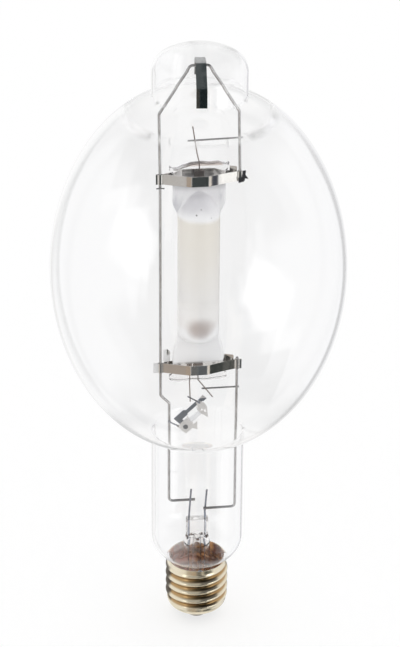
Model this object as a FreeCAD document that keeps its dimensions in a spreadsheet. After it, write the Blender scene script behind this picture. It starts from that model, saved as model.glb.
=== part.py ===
import FreeCAD, Part
import math
import os
import Sketcher

# Clear blown lamp, 56 eighths of an inch across, with a mogul screw base.
# Origin at the middle of the centre contact's lower face, +Z up the lamp's axis.
# The wire frame stands in the XZ plane, and -Y is the front.

Vector = FreeCAD.Vector
Placement = FreeCAD.Placement
Rotation = FreeCAD.Rotation
Z_AXIS = Vector(0, 0, 1)

doc = FreeCAD.newDocument("MetalHalideLamp")
sheet = doc.addObject("Spreadsheet::Sheet", "Sizes")

# Driving dimensions in millimetres and degrees
sizes = {
    # Outer bulb
    "overall_length": 390.5,
    "bulb_radius": 88.8,
    "bulb_foot_height": 131.0,
    "bulb_crown_drop": 25.5,
    "bulb_wall": 1.2,
    "dome_radius": 28.2,
    "dome_cap_height": 15.5,
    "dome_knuckle": 11.0,
    "dome_blend": 4.0,
    "neck_radius": 28.7,
    "neck_blend": 3.5,
    "neck_shoulder_top": 61.0,
    "neck_shoulder_foot": 40.0,
    "neck_shoulder_radius": 17.0,
    "neck_end_radius": 17.3,
    "neck_end_height": 33.0,
    # Screw base
    "thread_diameter": 39.5,
    "thread_depth": 1.8,
    "thread_pitch": 6.35,
    "thread_crest_height": 8.75,
    "thread_foot_height": 12.8,
    "thread_fade": 3.4,
    "shell_height": 42.8,
    "shell_wall": 0.4,
    "shell_collar": 2.6,
    "shell_shoulder_radius": 5.5,
    "shell_shoulder_angle": 62.0,
    "shell_hole_radius": 12.6,
    "contact_diameter": 13.0,
    "contact_thickness": 1.6,
    "contact_hole_radius": 1.2,
    "contact_edge": 0.5,
    "insulator_gap": 0.25,
    "insulator_lip": 0.4,
    "insulator_top_height": 10.5,
    "insulator_head_radius": 14.2,
    "solder_width": 1.6,
    "solder_height": 1.0,
    "solder_depth": 0.5,
    # Stem
    "stem_radius": 8.4,
    "stem_wall": 1.2,
    "stem_flare_radius": 11.0,
    "stem_flare_top": 47.0,
    "stem_round_top": 54.0,
    "stem_void_top": 57.5,
    "stem_void_side": 0.9,
    "stem_void_face": 0.1,
    "press_width": 14.0,
    "press_thickness": 5.2,
    "press_foot": 60.0,
    "press_top": 71.5,
    "press_edge": 1.6,
    "exhaust_radius": 3.1,
    "exhaust_wall": 0.9,
    "exhaust_tip": 20.0,
    "blow_hole_radius": 1.8,
    "lead_spacing": 10.3,
    "lead_diameter": 1.2,
    "left_lead_overrun": 8.4,
    "right_lead_end": 5.6,
    "lead_lean": 1.2,
    "lead_exit": 0.6,
    "lead_bend_height": 75.0,
    "tail_diameter": 0.6,
    "tail_joint_height": 50.0,
    "tail_landing_drop": 9.0,
    "tail_landing_length": 5.0,
    "tail_lead_in": 2.0,
    # Wire frame
    "rod_diameter": 1.6,
    "rod_bend": 2.4,
    "rod_left_x": 23.0,
    "rod_left_low_x": 17.7,
    "rod_right_x": 24.1,
    "frame_foot_height": 85.3,
    "left_foot_overrun": 3.8,
    "right_foot_overrun": 1.1,
    "jog_drop": 10.9,
    "jog_height": 5.8,
    "frame_shoulder_drop": 29.3,
    "frame_shoulder_left_x": 23.6,
    "frame_shoulder_right_x": 23.2,
    "frame_top_drop": 11.8,
    "frame_top_half_width": 5.4,
    "frame_leg_overrun": 4.3,
    "right_foot_height": 78.3,
    "right_rod_overrun": 4.6,
    "cross_diameter": 1.1,
    "upper_cross_rise": 14.2,
    "upper_cross_start": -6.7,
    "upper_cross_tilt": 1.3,
    "lower_cross_drop": 8.3,
    "lower_cross_start": 2.6,
    "cross_overrun": 1.6,
    "weld_gap": 0.03,
    "stop_wire_diameter": 0.8,
    "stop_wire_length": 4.8,
    "stop_wire_drop": 2.2,
    # Dome spring
    "spring_width": 6.2,
    "spring_thickness": 0.3,
    "spring_reach": 24.4,
    "spring_drop": 5.6,
    "spring_foot": 10.6,
    "spring_foot_out": 1.8,
    "spring_bend": 1.2,
    "spring_offset": 0.6,
    "spring_turn_angle": -5.5,
    # Arc tube
    "arc_diameter": 25.3,
    "arc_wall": 1.6,
    "arc_dome_foot": 8.5,
    "arc_dome_top": 16.5,
    "pinch_width": 31.4,
    "pinch_flare_width": 35.5,
    "pinch_flare_length": 2.4,
    "pinch_flare_run": 3.0,
    "pinch_thickness": 4.0,
    "pinch_foot": 172.7,
    "pinch_top_drop": 73.5,
    "pinch_low_length": 17.3,
    "pinch_low_taper": 16.0,
    "pinch_low_lap": 1.5,
    "pinch_high_length": 25.0,
    "pinch_high_taper": 9.0,
    "pinch_high_lap": 1.0,
    "pinch_edge": 0.8,
    "foil_width": 6.0,
    "foil_thickness": 0.2,
    "foil_length": 13.0,
    "foil_inset": 4.0,
    "starter_foil_width": 2.6,
    "starter_offset": 5.1,
    "electrode_diameter": 1.4,
    "electrode_reach": 12.0,
    "coil_wire": 0.8,
    "coil_pitch": 1.0,
    "coil_turns": 4.0,
    "coil_setback": 1.6,
    "coil_bite": 0.1,
    "starter_electrode_diameter": 0.6,
    "starter_electrode_reach": 5.0,
    "pool_depth": 1.6,
    "arc_lead_diameter": 0.75,
    "arc_lead_bend": 3.0,
    "arc_lead_exit": 0.8,
    "upper_lead_knee": 6.0,
    "upper_lead_lean": 1.2,
    "upper_lead_tip_x": 3.9,
    "upper_lead_length": 23.6,
    "lower_lead_knee": 3.0,
    "lower_lead_lean": 1.4,
    "lower_lead_tip_x": 9.3,
    "lower_lead_length": 14.1,
    "starter_lead_knee": 3.0,
    "starter_lead_lean": 0.5,
    "starter_lead_length": 16.3,
    # Straps
    "strap_height": 6.4,
    "strap_thickness": 0.35,
    "strap_bend": 0.7,
    "strap_crimp": 0.85,
    "strap_step": 0.5,
    "upper_strap_drop": 9.1,
    "lower_strap_rise": 8.7,
    "strap_front_half": 5.0,
    "strap_front_bow": 6.0,
    "strap_back_half": 9.5,
    "strap_back_bow": 7.0,
    "upper_tab_left": 1.2,
    "upper_tab_right": 1.6,
    "lower_tab_left": 3.0,
    "lower_tab_right": 1.4,
    "strap_clear": 0.13,
    "lug_root": 1.0,
    "lug_setback": 0.6,
    "upper_lug_width": 4.4,
    "lower_lug_width": 6.0,
    "short_lug_rise": 3.0,
    "short_lug_corner": 0.6,
    "long_lug_width": 4.4,
    "long_lug_rise": 9.0,
    "long_lug_corner": 2.0,
    "clip_thickness": 0.35,
    # Starter switch
    "switch_x": 12.5,
    "switch_drop": 29.3,
    "switch_tilt": 43.8,
    "strip_thickness": 0.4,
    "strip_wide": 4.2,
    "strip_wide_rise": 0.5,
    "strip_wide_length": 7.4,
    "strip_shoulder": 1.2,
    "strip_narrow": 2.3,
    "strip_narrow_rise": 0.25,
    "strip_hinge": 17.5,
    "strip_tab_reach": 7.6,
    "strip_tab_width": 3.4,
    "strip_gap": 0.12,
    "anchor_step": 20.4,
    "anchor_end": 23.3,
    "anchor_width": 3.4,
    "plate_thickness": 0.4,
    "plate_front": 1.7,
    "lower_fold": 5.4,
    "upper_fold": 13.7,
    "flange_depth": 4.2,
    "flange_near": 3.2,
    "flange_far": 8.4,
    "eye_radius": 0.7,
    "eye_along": 15.7,
    "eye_across": 5.2,
    "rivet_along": 0.8,
    "rivet_across": 6.0,
    "rivet_radius": 1.5,
    "rivet_head": 0.5,
    "bracket_gap": 0.3,
    "spacer_radius": 1.5,
    "hole_depth": 1.2,
    "switch_lead_diameter": 0.9,
    "left_lead_rise": 0.6,
    "left_lead_sag": 0.3,
    "left_landing_back": 2.0,
    "left_landing_across": 2.9,
    "right_lead_overrun": 1.2,
    "right_lead_drop": 12.1,
    "right_knee_along": 18.0,
    "right_knee_across": 2.0,
    "right_landing_along": 18.3,
    "right_landing_across": 0.6,
}
for row, (alias, value) in enumerate(sizes.items(), start=1):
    sheet.set(f"A{row}", alias)
    sheet.set(f"B{row}", str(value))
    sheet.setAlias(f"B{row}", alias)
doc.recompute()

pieces = {}


def size(alias):
    return float(sheet.get(alias))


def keep(label, item):
    item.Label = label
    pieces[label] = item
    return item


def add(kind, name, **bindings):
    """An object whose properties are bound to expressions on the sheet."""
    item = doc.addObject(kind, name)
    for prop, expression in bindings.items():
        item.setExpression(prop, expression)
    return item


def lift(item, x="0", y="0", z="0"):
    """Bind an object's position to expressions on the sheet."""
    item.setExpression("Placement.Base.x", x)
    item.setExpression("Placement.Base.y", y)
    item.setExpression("Placement.Base.z", z)
    return item


def fuse(name, shapes):
    item = doc.addObject("Part::MultiFuse", name)
    item.Shapes = shapes
    item.Refine = True
    return item


def cut(name, base, tool):
    item = doc.addObject("Part::Cut", name)
    item.Base = base
    item.Tool = tool
    return item


def compound(name, links):
    item = doc.addObject("Part::Compound", name)
    item.Links = links
    return item


def origin_plane(body, role):
    return next(item for item in body.Origin.OriginFeatures if item.Role == role)


def draw_chain(sketch, curves):
    """Put a closed chain of curves in a sketch and tie each end to the next curve."""
    ids = [sketch.addGeometry(curve, False) for curve in curves]
    for this, other in zip(ids, ids[1:] + ids[:1]):
        apart = {
            (first, second): (sketch.getPoint(this, first) - sketch.getPoint(other, second)).Length
            for first in (1, 2)
            for second in (1, 2)
        }
        first, second = min(apart, key=apart.get)
        sketch.addConstraint(Sketcher.Constraint("Coincident", this, first, other, second))


def polygon(points):
    corners = [Vector(x, y, 0) for x, y in points]
    return [Part.LineSegment(a, b) for a, b in zip(corners, corners[1:] + corners[:1])]


def turned_body(name, curves):
    """A body of revolution about Z from a profile drawn in the XZ plane."""
    body = doc.addObject("PartDesign::Body", name)
    sketch = body.newObject("Sketcher::SketchObject", name + "_profile")
    sketch.AttachmentSupport = (origin_plane(body, "XZ_Plane"), [""])
    sketch.MapMode = "FlatFace"
    draw_chain(sketch, curves)
    turn = body.newObject("PartDesign::Revolution", name + "_turn")
    turn.Profile = sketch
    turn.ReferenceAxis = (sketch, ["V_Axis"])
    turn.Angle = 360
    return body


def plate_body(name, points, thickness, depth):
    """An upright plate: a polygon in XZ, padded to the front from a depth in front of the axis."""
    body = doc.addObject("PartDesign::Body", name)
    sketch = body.newObject("Sketcher::SketchObject", name + "_outline")
    sketch.AttachmentSupport = (origin_plane(body, "XZ_Plane"), [""])
    sketch.MapMode = "FlatFace"
    sketch.AttachmentOffset = Placement(Vector(0, 0, depth), Rotation())
    draw_chain(sketch, polygon(points))
    pad = body.newObject("PartDesign::Pad", name + "_pad")
    pad.Profile = sketch
    pad.setExpression("Length", f"Sizes.{thickness}")
    return body


def rounded_path(points, radius):
    """Straight runs joined by tangent arcs, each arc no longer than its runs allow."""
    edges = []
    start = points[0]
    for before, corner, after in zip(points, points[1:], points[2:]):
        back = (before - corner).normalize()
        ahead = (after - corner).normalize()
        half_turn = (math.pi - back.getAngle(ahead)) / 2
        shortest = min((before - corner).Length, (after - corner).Length)
        trim = min(radius * math.tan(half_turn), 0.45 * shortest)
        bend = trim / math.tan(half_turn)
        first = corner + back * trim
        last = corner + ahead * trim
        bisector = (back + ahead).normalize()
        centre = corner + bisector * math.hypot(trim, bend)
        middle = centre - bisector * bend
        edges.append(Part.LineSegment(start, first).toShape())
        edges.append(Part.Arc(first, middle, last).toShape())
        start = last
    edges.append(Part.LineSegment(start, points[-1]).toShape())
    return Part.Wire(edges)


def sweep_along(name, section, points, bend):
    path = doc.addObject("Part::Feature", name + "_path")
    path.Shape = rounded_path(points, size(bend))
    sweep = doc.addObject("Part::Sweep", name)
    sweep.Sections = [section]
    sweep.Spine = (path, [f"Edge{number + 1}" for number in range(len(path.Shape.Edges))])
    sweep.Solid = True
    sweep.Frenet = False
    return sweep


def bent_wire(name, points, diameter, bend):
    """Round wire of a diameter from the sheet along a bent path."""
    section = add("Part::Circle", name + "_section", Radius=f"Sizes.{diameter} / 2")
    heading = Rotation(Z_AXIS, points[1] - points[0])
    section.Placement = Placement(points[0], heading)
    return sweep_along(name, section, points, bend)


def bent_strip(name, points, width, thickness, bend, upright):
    """Flat strip along a bent path, its width lying along the upright direction."""
    section = add(
        "Part::Plane",
        name + "_section",
        Length=f"Sizes.{thickness}",
        Width=f"Sizes.{width}",
    )
    ahead = (points[1] - points[0]).normalize()
    turned = Rotation(upright.cross(ahead), upright, ahead, "ZYX")
    corner = turned.multVec(Vector(size(thickness) / 2, size(width) / 2, 0))
    section.Placement = Placement(points[0] - corner, turned)
    return sweep_along(name, section, points, bend)


# Outer bulb: an ellipsoid between a round dome and a straight neck

def arc_about(centre_x, centre_z, radius, angles):
    """Arc through three points at the given angles in degrees."""
    where = [
        Vector(
            centre_x + radius * math.cos(math.radians(angle)),
            centre_z + radius * math.sin(math.radians(angle)),
            0,
        )
        for angle in angles
    ]
    return Part.Arc(*where)


def blend_at(radius, half_length, column, blend, side):
    """Angle on the ellipse where a hollow blend to a straight column starts."""
    low, high = math.radians(20), math.radians(89)
    for _ in range(60):
        angle = (low + high) / 2
        slope = Vector(math.cos(angle) / radius, math.sin(angle) / half_length, 0).normalize()
        centre_x = radius * math.cos(angle) + blend * slope.x
        if centre_x > column + blend:
            low = angle
        else:
            high = angle
    centre_z = side * (half_length * math.sin(angle) + blend * slope.y)
    return side * angle, centre_z, side * math.degrees(math.atan2(slope.y, slope.x))


def bulb_outline(inset):
    """Profile from the neck's end to the dome's crown, moved inwards by the inset."""
    radius = size("bulb_radius") - inset
    body_top = size("overall_length") - size("bulb_crown_drop")
    half_length = (body_top - size("bulb_foot_height")) / 2 - inset
    middle = (body_top + size("bulb_foot_height")) / 2
    neck = size("neck_radius") - inset
    dome = size("dome_radius") - inset
    top = size("overall_length") - inset
    neck_end = size("neck_end_radius") - inset
    upper = size("neck_shoulder_radius") - inset
    shoulder_top = size("neck_shoulder_top")
    shoulder_foot = size("neck_shoulder_foot")

    # The shoulder is two tangent arcs between the neck and its narrow end
    fall = shoulder_top - shoulder_foot
    step = neck - neck_end
    turn = 2 * math.atan2(step, fall)
    lower = fall / math.sin(turn) - upper
    sweep = math.degrees(turn)
    foot_arc = arc_about(neck_end + lower, shoulder_foot, lower, (180, 180 - sweep / 2, 180 - sweep))
    head_arc = arc_about(neck - upper, shoulder_top, upper, (-sweep, -sweep / 2, 0))

    # The blends between the ellipsoid, the neck and the dome
    neck_blend = size("neck_blend") + inset
    dome_blend = size("dome_blend") + inset
    low_angle, low_z, low_lean = blend_at(radius, half_length, neck, neck_blend, -1)
    high_angle, high_z, high_lean = blend_at(radius, half_length, dome, dome_blend, 1)
    low_lean += 180
    high_lean += 180
    neck_arc = arc_about(
        neck + neck_blend, middle + low_z, neck_blend, (180, (180 + low_lean) / 2, low_lean)
    )
    dome_arc = arc_about(
        dome + dome_blend, middle + high_z, dome_blend, (high_lean, (180 + high_lean) / 2, 180)
    )
    # An ellipse starts at the end of its longer axis
    centre = Vector(0, middle, 0)
    side = Vector(radius, 0, 0)
    crest = Vector(0, half_length, 0)
    if half_length > radius:
        ellipse = Part.Ellipse(centre + crest, centre - side, centre)
        start = math.pi / 2
    else:
        ellipse = Part.Ellipse(centre + side, centre + crest, centre)
        start = 0
    body_arc = Part.ArcOfEllipse(ellipse, low_angle - start, high_angle - start)

    # The dome's end: a small knuckle arc and a large crown arc
    knuckle = size("dome_knuckle") - inset
    knuckle_z = size("overall_length") - size("dome_cap_height")
    reach = dome - knuckle
    rise = top - knuckle_z
    crown = (reach**2 + rise**2 - knuckle**2) / (2 * (rise - knuckle))
    lean = math.degrees(math.atan2(knuckle_z - (top - crown), reach))
    knuckle_arc = arc_about(reach, knuckle_z, knuckle, (0, lean / 2, lean))
    crown_arc = arc_about(0, top - crown, crown, (lean, (lean + 90) / 2, 90))

    return [
        Part.LineSegment(Vector(neck_end, size("neck_end_height"), 0), Vector(neck_end, shoulder_foot, 0)),
        foot_arc,
        head_arc,
        Part.LineSegment(Vector(neck, shoulder_top, 0), Vector(neck, middle + low_z, 0)),
        neck_arc,
        body_arc,
        dome_arc,
        Part.LineSegment(Vector(dome, middle + high_z, 0), Vector(dome, knuckle_z, 0)),
        knuckle_arc,
        crown_arc,
    ]


outer_line = bulb_outline(0)
inner_line = bulb_outline(size("bulb_wall"))
crown_wall = Part.LineSegment(
    Vector(0, size("overall_length"), 0), Vector(0, size("overall_length") - size("bulb_wall"), 0)
)
end_wall = Part.LineSegment(
    Vector(size("neck_end_radius") - size("bulb_wall"), size("neck_end_height"), 0),
    Vector(size("neck_end_radius"), size("neck_end_height"), 0),
)
bulb_profile = outer_line + [crown_wall] + inner_line[::-1] + [end_wall]
keep("outer_bulb", turned_body("outer_bulb", bulb_profile))

# Screw shell: one drawn sheet whose round section moves off centre to make the thread

mean_radius = (size("thread_diameter") - size("thread_depth")) / 2
thread_offset = size("thread_depth") / 2
thread_top = size("shell_height") - size("shell_collar")
foot_rings = 3
shoulder_rings = 5
rings_per_turn = 8


def thread_angle(height):
    return 2 * math.pi * (height - size("thread_crest_height")) / size("thread_pitch")


def thread_strength(height):
    """Share of the full thread depth at a height, which fades at both ends."""
    above = (height - size("thread_foot_height")) / size("thread_fade")
    below = (thread_top - height) / size("thread_fade")
    share = max(0.0, min(1.0, above, below))
    return share * share * (3 - 2 * share)


def shell_rings(inset):
    """Circles from the hole in the shell's foot to its rim, moved inwards by the inset."""
    shoulder = size("shell_shoulder_radius")
    end_angle = math.radians(size("shell_shoulder_angle"))
    centre_r = mean_radius - shoulder
    centre_z = size("thread_foot_height")
    bend = shoulder - inset
    slope_r = math.sin(end_angle)
    slope_z = math.cos(end_angle)
    run = (centre_r + shoulder * math.cos(end_angle) - size("shell_hole_radius")) / slope_r
    rings = []
    for step in range(foot_rings):
        left = run * (1 - step / foot_rings)
        ring_radius = centre_r + bend * math.cos(end_angle) - left * slope_r
        rings.append((ring_radius, centre_z - bend * math.sin(end_angle) - left * slope_z))
    for step in range(shoulder_rings):
        angle = end_angle * (1 - step / shoulder_rings)
        rings.append((centre_r + bend * math.cos(angle), centre_z - bend * math.sin(angle)))
    rise = size("shell_height") - centre_z
    steps = round(rings_per_turn * rise / size("thread_pitch"))
    for step in range(steps + 1):
        rings.append((mean_radius - inset, centre_z + rise * step / steps))
    return rings


def shell_solid(name, inset):
    loft = doc.addObject("Part::Feature", name)
    wires = []
    for ring_radius, height in shell_rings(inset):
        shift = thread_offset * thread_strength(height)
        angle = thread_angle(height)
        centre = Vector(shift * math.cos(angle), shift * math.sin(angle), height)
        wires.append(Part.Wire(Part.makeCircle(ring_radius, centre, Z_AXIS)))
    loft.Shape = Part.makeLoft(wires, True, False)
    return loft


def shell_void():
    """The room inside the sheet, taken past the rim and the hole so that both stay open."""
    room = shell_solid("screw_shell_room", size("shell_wall"))
    foot_r, foot_z = shell_rings(size("shell_wall"))[0]
    hole = doc.addObject("Part::Cylinder", "screw_shell_hole")
    hole.Radius = foot_r
    hole.Height = 2 * size("shell_wall")
    hole.Placement = Placement(Vector(0, 0, foot_z - 2 * size("shell_wall")), Rotation())
    return fuse("screw_shell_void", [room, hole])


shell_outside = shell_solid("screw_shell_outside", 0)
keep("screw_shell", cut("screw_shell", shell_outside, shell_void()))

# Glass insulator in the shell's foot, with the contact and its solder below it


def flange_height(radius):
    """Height of the shell's inner face over its sloping foot at a radius."""
    foot_r, foot_z = shell_rings(size("shell_wall"))[0]
    slope = 1 / math.tan(math.radians(size("shell_shoulder_angle")))
    return foot_z + (radius - foot_r) * slope


seat_gap = size("insulator_gap")
hole_edge = shell_rings(size("shell_wall"))[0][0] - seat_gap
head_radius = size("insulator_head_radius")
contact_radius = size("contact_diameter") / 2
contact_top = size("contact_thickness")
insulator_points = [
    (size("contact_hole_radius"), contact_top),
    (contact_radius + size("insulator_lip"), contact_top),
    (hole_edge, flange_height(hole_edge) - size("shell_wall")),
    (hole_edge, flange_height(hole_edge) + seat_gap),
    (head_radius, flange_height(head_radius) + seat_gap),
    (head_radius, size("insulator_top_height")),
    (size("contact_hole_radius"), size("insulator_top_height")),
]
keep("base_insulator", turned_body("base_insulator", polygon(insulator_points)))

contact_blank = add(
    "Part::Cylinder",
    "centre_contact_blank",
    Radius="Sizes.contact_diameter / 2",
    Height="Sizes.contact_thickness",
)
contact_hole = add(
    "Part::Cylinder",
    "centre_contact_hole",
    Radius="Sizes.contact_hole_radius",
    Height="Sizes.contact_thickness",
)
contact_ring = cut("centre_contact_ring", contact_blank, contact_hole)
doc.recompute()
centre_contact = doc.addObject("Part::Fillet", "centre_contact")
centre_contact.Base = contact_ring
centre_contact.Edges = [
    (number + 1, size("contact_edge"), size("contact_edge"))
    for number, edge in enumerate(contact_ring.Shape.Edges)
    if len(edge.Vertexes) == 1
    and abs(edge.Curve.Radius - contact_radius) < 1e-6
    and abs(edge.Curve.Center.z) < 1e-6
]
keep("centre_contact", centre_contact)

keep(
    "contact_solder",
    add(
        "Part::Cylinder",
        "contact_solder",
        Radius="Sizes.contact_hole_radius - Sizes.weld_gap",
        Height="Sizes.contact_thickness",
    ),
)

rim_solder = add(
    "Part::Ellipsoid",
    "rim_solder",
    Radius1="Sizes.solder_height",
    Radius2="Sizes.solder_width",
    Radius3="Sizes.solder_depth",
    Angle1="0",
    Angle2="90",
)
lift(
    rim_solder,
    y="-(Sizes.thread_diameter - Sizes.thread_depth) / 2",
    z="Sizes.shell_height + Sizes.weld_gap",
)
keep("rim_solder", rim_solder)

# Stem: a flared glass tube, pressed flat at its top round the two lead wires

flare = size("stem_flare_radius")
flare_top = size("stem_flare_top")
wall = size("stem_wall")
stem_outer = size("stem_radius")
seal_radius = size("neck_end_radius") - size("bulb_wall") - size("weld_gap")
seal_foot = size("neck_end_height")
round_top = size("stem_round_top")
flare_turn = math.degrees(math.acos((stem_outer + flare - seal_radius) / flare))
inner_turn = math.degrees(math.acos((stem_outer + flare - seal_radius) / (flare + wall)))
flare_foot = flare_top - flare * math.sin(math.radians(flare_turn))
inner_foot = flare_top - (flare + wall) * math.sin(math.radians(inner_turn))
centre_r = stem_outer + flare
stem_tube = turned_body(
    "stem_tube",
    [
        Part.LineSegment(Vector(seal_radius, inner_foot, 0), Vector(seal_radius, flare_foot, 0)),
        arc_about(centre_r, flare_top, flare, (180 + flare_turn, 180 + flare_turn / 2, 180)),
        Part.LineSegment(Vector(stem_outer, flare_top, 0), Vector(stem_outer, round_top, 0)),
        Part.LineSegment(Vector(stem_outer, round_top, 0), Vector(stem_outer - wall, round_top, 0)),
        Part.LineSegment(Vector(stem_outer - wall, round_top, 0), Vector(stem_outer - wall, flare_top, 0)),
        arc_about(centre_r, flare_top, flare + wall, (180, 180 + inner_turn / 2, 180 + inner_turn)),
    ],
)


def ring_loft(name, low_radius, low_z, wide, deep, high_z):
    """Loft from a circle up to an ellipse."""
    low = add("Part::Circle", name + "_low", Radius=low_radius)
    lift(low, z=low_z)
    high = add("Part::Ellipse", name + "_high", MajorRadius=wide, MinorRadius=deep)
    lift(high, z=high_z)
    loft = doc.addObject("Part::Loft", name)
    loft.Sections = [low, high]
    loft.Solid = True
    return loft


crown_out = ring_loft(
    "stem_crown",
    "Sizes.stem_radius",
    "Sizes.stem_round_top",
    "Sizes.press_width / 2",
    "Sizes.press_thickness / 2",
    "Sizes.press_foot",
)
crown_in = ring_loft(
    "stem_void",
    "Sizes.stem_radius - Sizes.stem_wall",
    "Sizes.stem_round_top",
    "Sizes.exhaust_radius + Sizes.stem_void_side",
    "Sizes.exhaust_radius + Sizes.stem_void_face",
    "Sizes.stem_void_top",
)
press = add(
    "Part::Box",
    "stem_press_block",
    Length="Sizes.press_width",
    Width="Sizes.press_thickness",
    Height="Sizes.press_top - Sizes.press_foot",
)
lift(press, x="-Sizes.press_width / 2", y="-Sizes.press_thickness / 2", z="Sizes.press_foot")
doc.recompute()
stem_press = doc.addObject("Part::Fillet", "stem_press")
stem_press.Base = press
stem_press.Edges = [
    (number + 1, size("press_edge"), size("press_edge"))
    for number, edge in enumerate(press.Shape.Edges)
    if abs(edge.BoundBox.ZLength - (size("press_top") - size("press_foot"))) < 1e-6
]
stem_glass_blank = fuse("stem_glass_blank", [stem_tube, crown_out, stem_press])

lead_pockets = []
for side, sign in (("left", "-"), ("right", "")):
    pocket = add(
        "Part::Cylinder",
        f"lead_pocket_{side}",
        Radius="Sizes.lead_diameter / 2",
        Height="Sizes.press_top - Sizes.tail_joint_height",
    )
    lift(pocket, x=f"{sign}Sizes.lead_spacing / 2", z="Sizes.tail_joint_height")
    lead_pockets.append(pocket)
bore = add(
    "Part::Cylinder",
    "exhaust_bore",
    Radius="Sizes.exhaust_radius - Sizes.exhaust_wall",
    Height="Sizes.blow_hole_radius * 2",
)
lift(bore, z="Sizes.stem_void_top")
blow_hole = add(
    "Part::Cylinder",
    "blow_hole",
    Radius="Sizes.blow_hole_radius",
    Height="Sizes.stem_radius",
)
blow_hole.Placement = Placement(Vector(0, 0, 0), Rotation(Vector(1, 0, 0), 90))
lift(blow_hole, z="Sizes.stem_void_top + Sizes.blow_hole_radius")
stem_room = compound("stem_room", [crown_in, bore, blow_hole] + lead_pockets)
keep("stem_glass", cut("stem_glass", stem_glass_blank, stem_room))

exhaust_out = size("exhaust_radius")
exhaust_in = exhaust_out - size("exhaust_wall")
exhaust_tip = size("exhaust_tip")
void_top = size("stem_void_top") - size("weld_gap")
tip_centre = exhaust_tip + exhaust_out
exhaust_profile = [
    Part.LineSegment(Vector(exhaust_in, void_top, 0), Vector(exhaust_out, void_top, 0)),
    Part.LineSegment(Vector(exhaust_out, void_top, 0), Vector(exhaust_out, tip_centre, 0)),
    arc_about(0, tip_centre, exhaust_out, (0, -45, -90)),
    Part.LineSegment(Vector(0, exhaust_tip, 0), Vector(0, exhaust_tip + size("exhaust_wall"), 0)),
    arc_about(0, tip_centre, exhaust_in, (-90, -45, 0)),
    Part.LineSegment(Vector(exhaust_in, tip_centre, 0), Vector(exhaust_in, void_top, 0)),
]
keep("exhaust_tube", turned_body("exhaust_tube", exhaust_profile))

# Lead wires through the press, and their thin tails in the base

rod_r = size("rod_diameter") / 2
lead_r = size("lead_diameter") / 2
weld = size("weld_gap")
lead_x = size("lead_spacing") / 2
lead_side = rod_r + lead_r + weld
lead_tops = {
    "left": size("frame_foot_height") + size("left_lead_overrun"),
    "right": size("frame_foot_height") + size("right_lead_end"),
}
for side, sign, front in (("left", -1, -1), ("right", 1, 1)):
    x = sign * lead_x
    points = [
        Vector(x, 0, size("tail_joint_height")),
        Vector(x, 0, size("press_top") + size("lead_exit")),
        Vector(x, front * lead_side, size("lead_bend_height")),
        Vector(x + size("lead_lean"), front * lead_side, lead_tops[side]),
    ]
    keep(f"lead_wire_{side}", bent_wire(f"lead_wire_{side}", points, "lead_diameter", "lead_diameter"))

tail_z = size("tail_joint_height") - weld
tail_r = size("tail_diameter") / 2
landing_z = size("neck_end_height") - size("tail_landing_drop")
shell_inside = mean_radius - size("shell_wall") - thread_offset - tail_r
left_tail = [
    Vector(-lead_x, 0, tail_z),
    Vector(-lead_x, 0, size("neck_end_height")),
    Vector(-shell_inside, 0, landing_z),
    Vector(-shell_inside, 0, landing_z - size("tail_landing_length")),
]
right_tail = [
    Vector(lead_x, 0, tail_z),
    Vector(lead_x, 0, exhaust_tip),
    Vector(0, 0, size("insulator_top_height") + size("tail_lead_in")),
    Vector(0, 0, size("contact_thickness") + weld),
]
for side, points in (("left", left_tail), ("right", right_tail)):
    keep(f"lead_tail_{side}", bent_wire(f"lead_tail_{side}", points, "tail_diameter", "rod_bend"))

# Wire frame: one long wire on the left and over the dome, one rod on the right

frame_top = size("overall_length") - size("frame_top_drop")
frame_shoulder = frame_top - size("frame_shoulder_drop")
pinch_foot = size("pinch_foot")
pinch_top = size("overall_length") - size("pinch_top_drop")
jog_head = pinch_foot - size("jog_drop")
lower_strap_height = pinch_foot + size("lower_strap_rise")
upper_strap_height = pinch_top - size("upper_strap_drop")
left_x = size("rod_left_x")
low_x = size("rod_left_low_x")
right_x = size("rod_right_x")
top_half = size("frame_top_half_width")
frame_points = [
    (-lead_x + size("left_foot_overrun"), size("frame_foot_height")),
    (-low_x, size("frame_foot_height")),
    (-low_x, jog_head - size("jog_height")),
    (-left_x, jog_head),
    (-left_x, upper_strap_height),
    (-size("frame_shoulder_left_x"), frame_shoulder),
    (-top_half, frame_top),
    (top_half, frame_top),
    (size("frame_shoulder_right_x"), frame_shoulder),
    (right_x, upper_strap_height + size("strap_height") / 2),
    (right_x, upper_strap_height - size("frame_leg_overrun")),
]
keep(
    "frame_wire",
    bent_wire("frame_wire", [Vector(x, 0, z) for x, z in frame_points], "rod_diameter", "rod_bend"),
)
support_points = [
    (lead_x - size("right_foot_overrun"), size("right_foot_height")),
    (right_x, size("right_foot_height")),
    (right_x, lower_strap_height + size("right_rod_overrun")),
]
keep(
    "support_rod",
    bent_wire("support_rod", [Vector(x, 0, z) for x, z in support_points], "rod_diameter", "rod_bend"),
)

# Cross wires behind the rods, and the stop wire in front of the left rod

pinch_top_sum = "(Sizes.overall_length - Sizes.pinch_top_drop)"
cross_y = "(Sizes.rod_diameter + Sizes.cross_diameter) / 2 + Sizes.weld_gap"
cross_levels = (
    ("upper", size("upper_cross_tilt"), f"{pinch_top_sum} + Sizes.upper_cross_rise"),
    ("lower", 0, "Sizes.pinch_foot - Sizes.lower_cross_drop"),
)
for level, tilt, cross_z in cross_levels:
    cross = add(
        "Part::Cylinder",
        f"{level}_cross_wire",
        Radius="Sizes.cross_diameter / 2",
        Height=f"Sizes.rod_right_x + Sizes.cross_overrun - Sizes.{level}_cross_start",
    )
    cross.Placement = Placement(Vector(0, 0, 0), Rotation(Vector(0, 1, 0), 90 - tilt))
    lift(cross, x=f"Sizes.{level}_cross_start", y=cross_y, z=cross_z)
    keep(f"{level}_cross_wire", cross)

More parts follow.
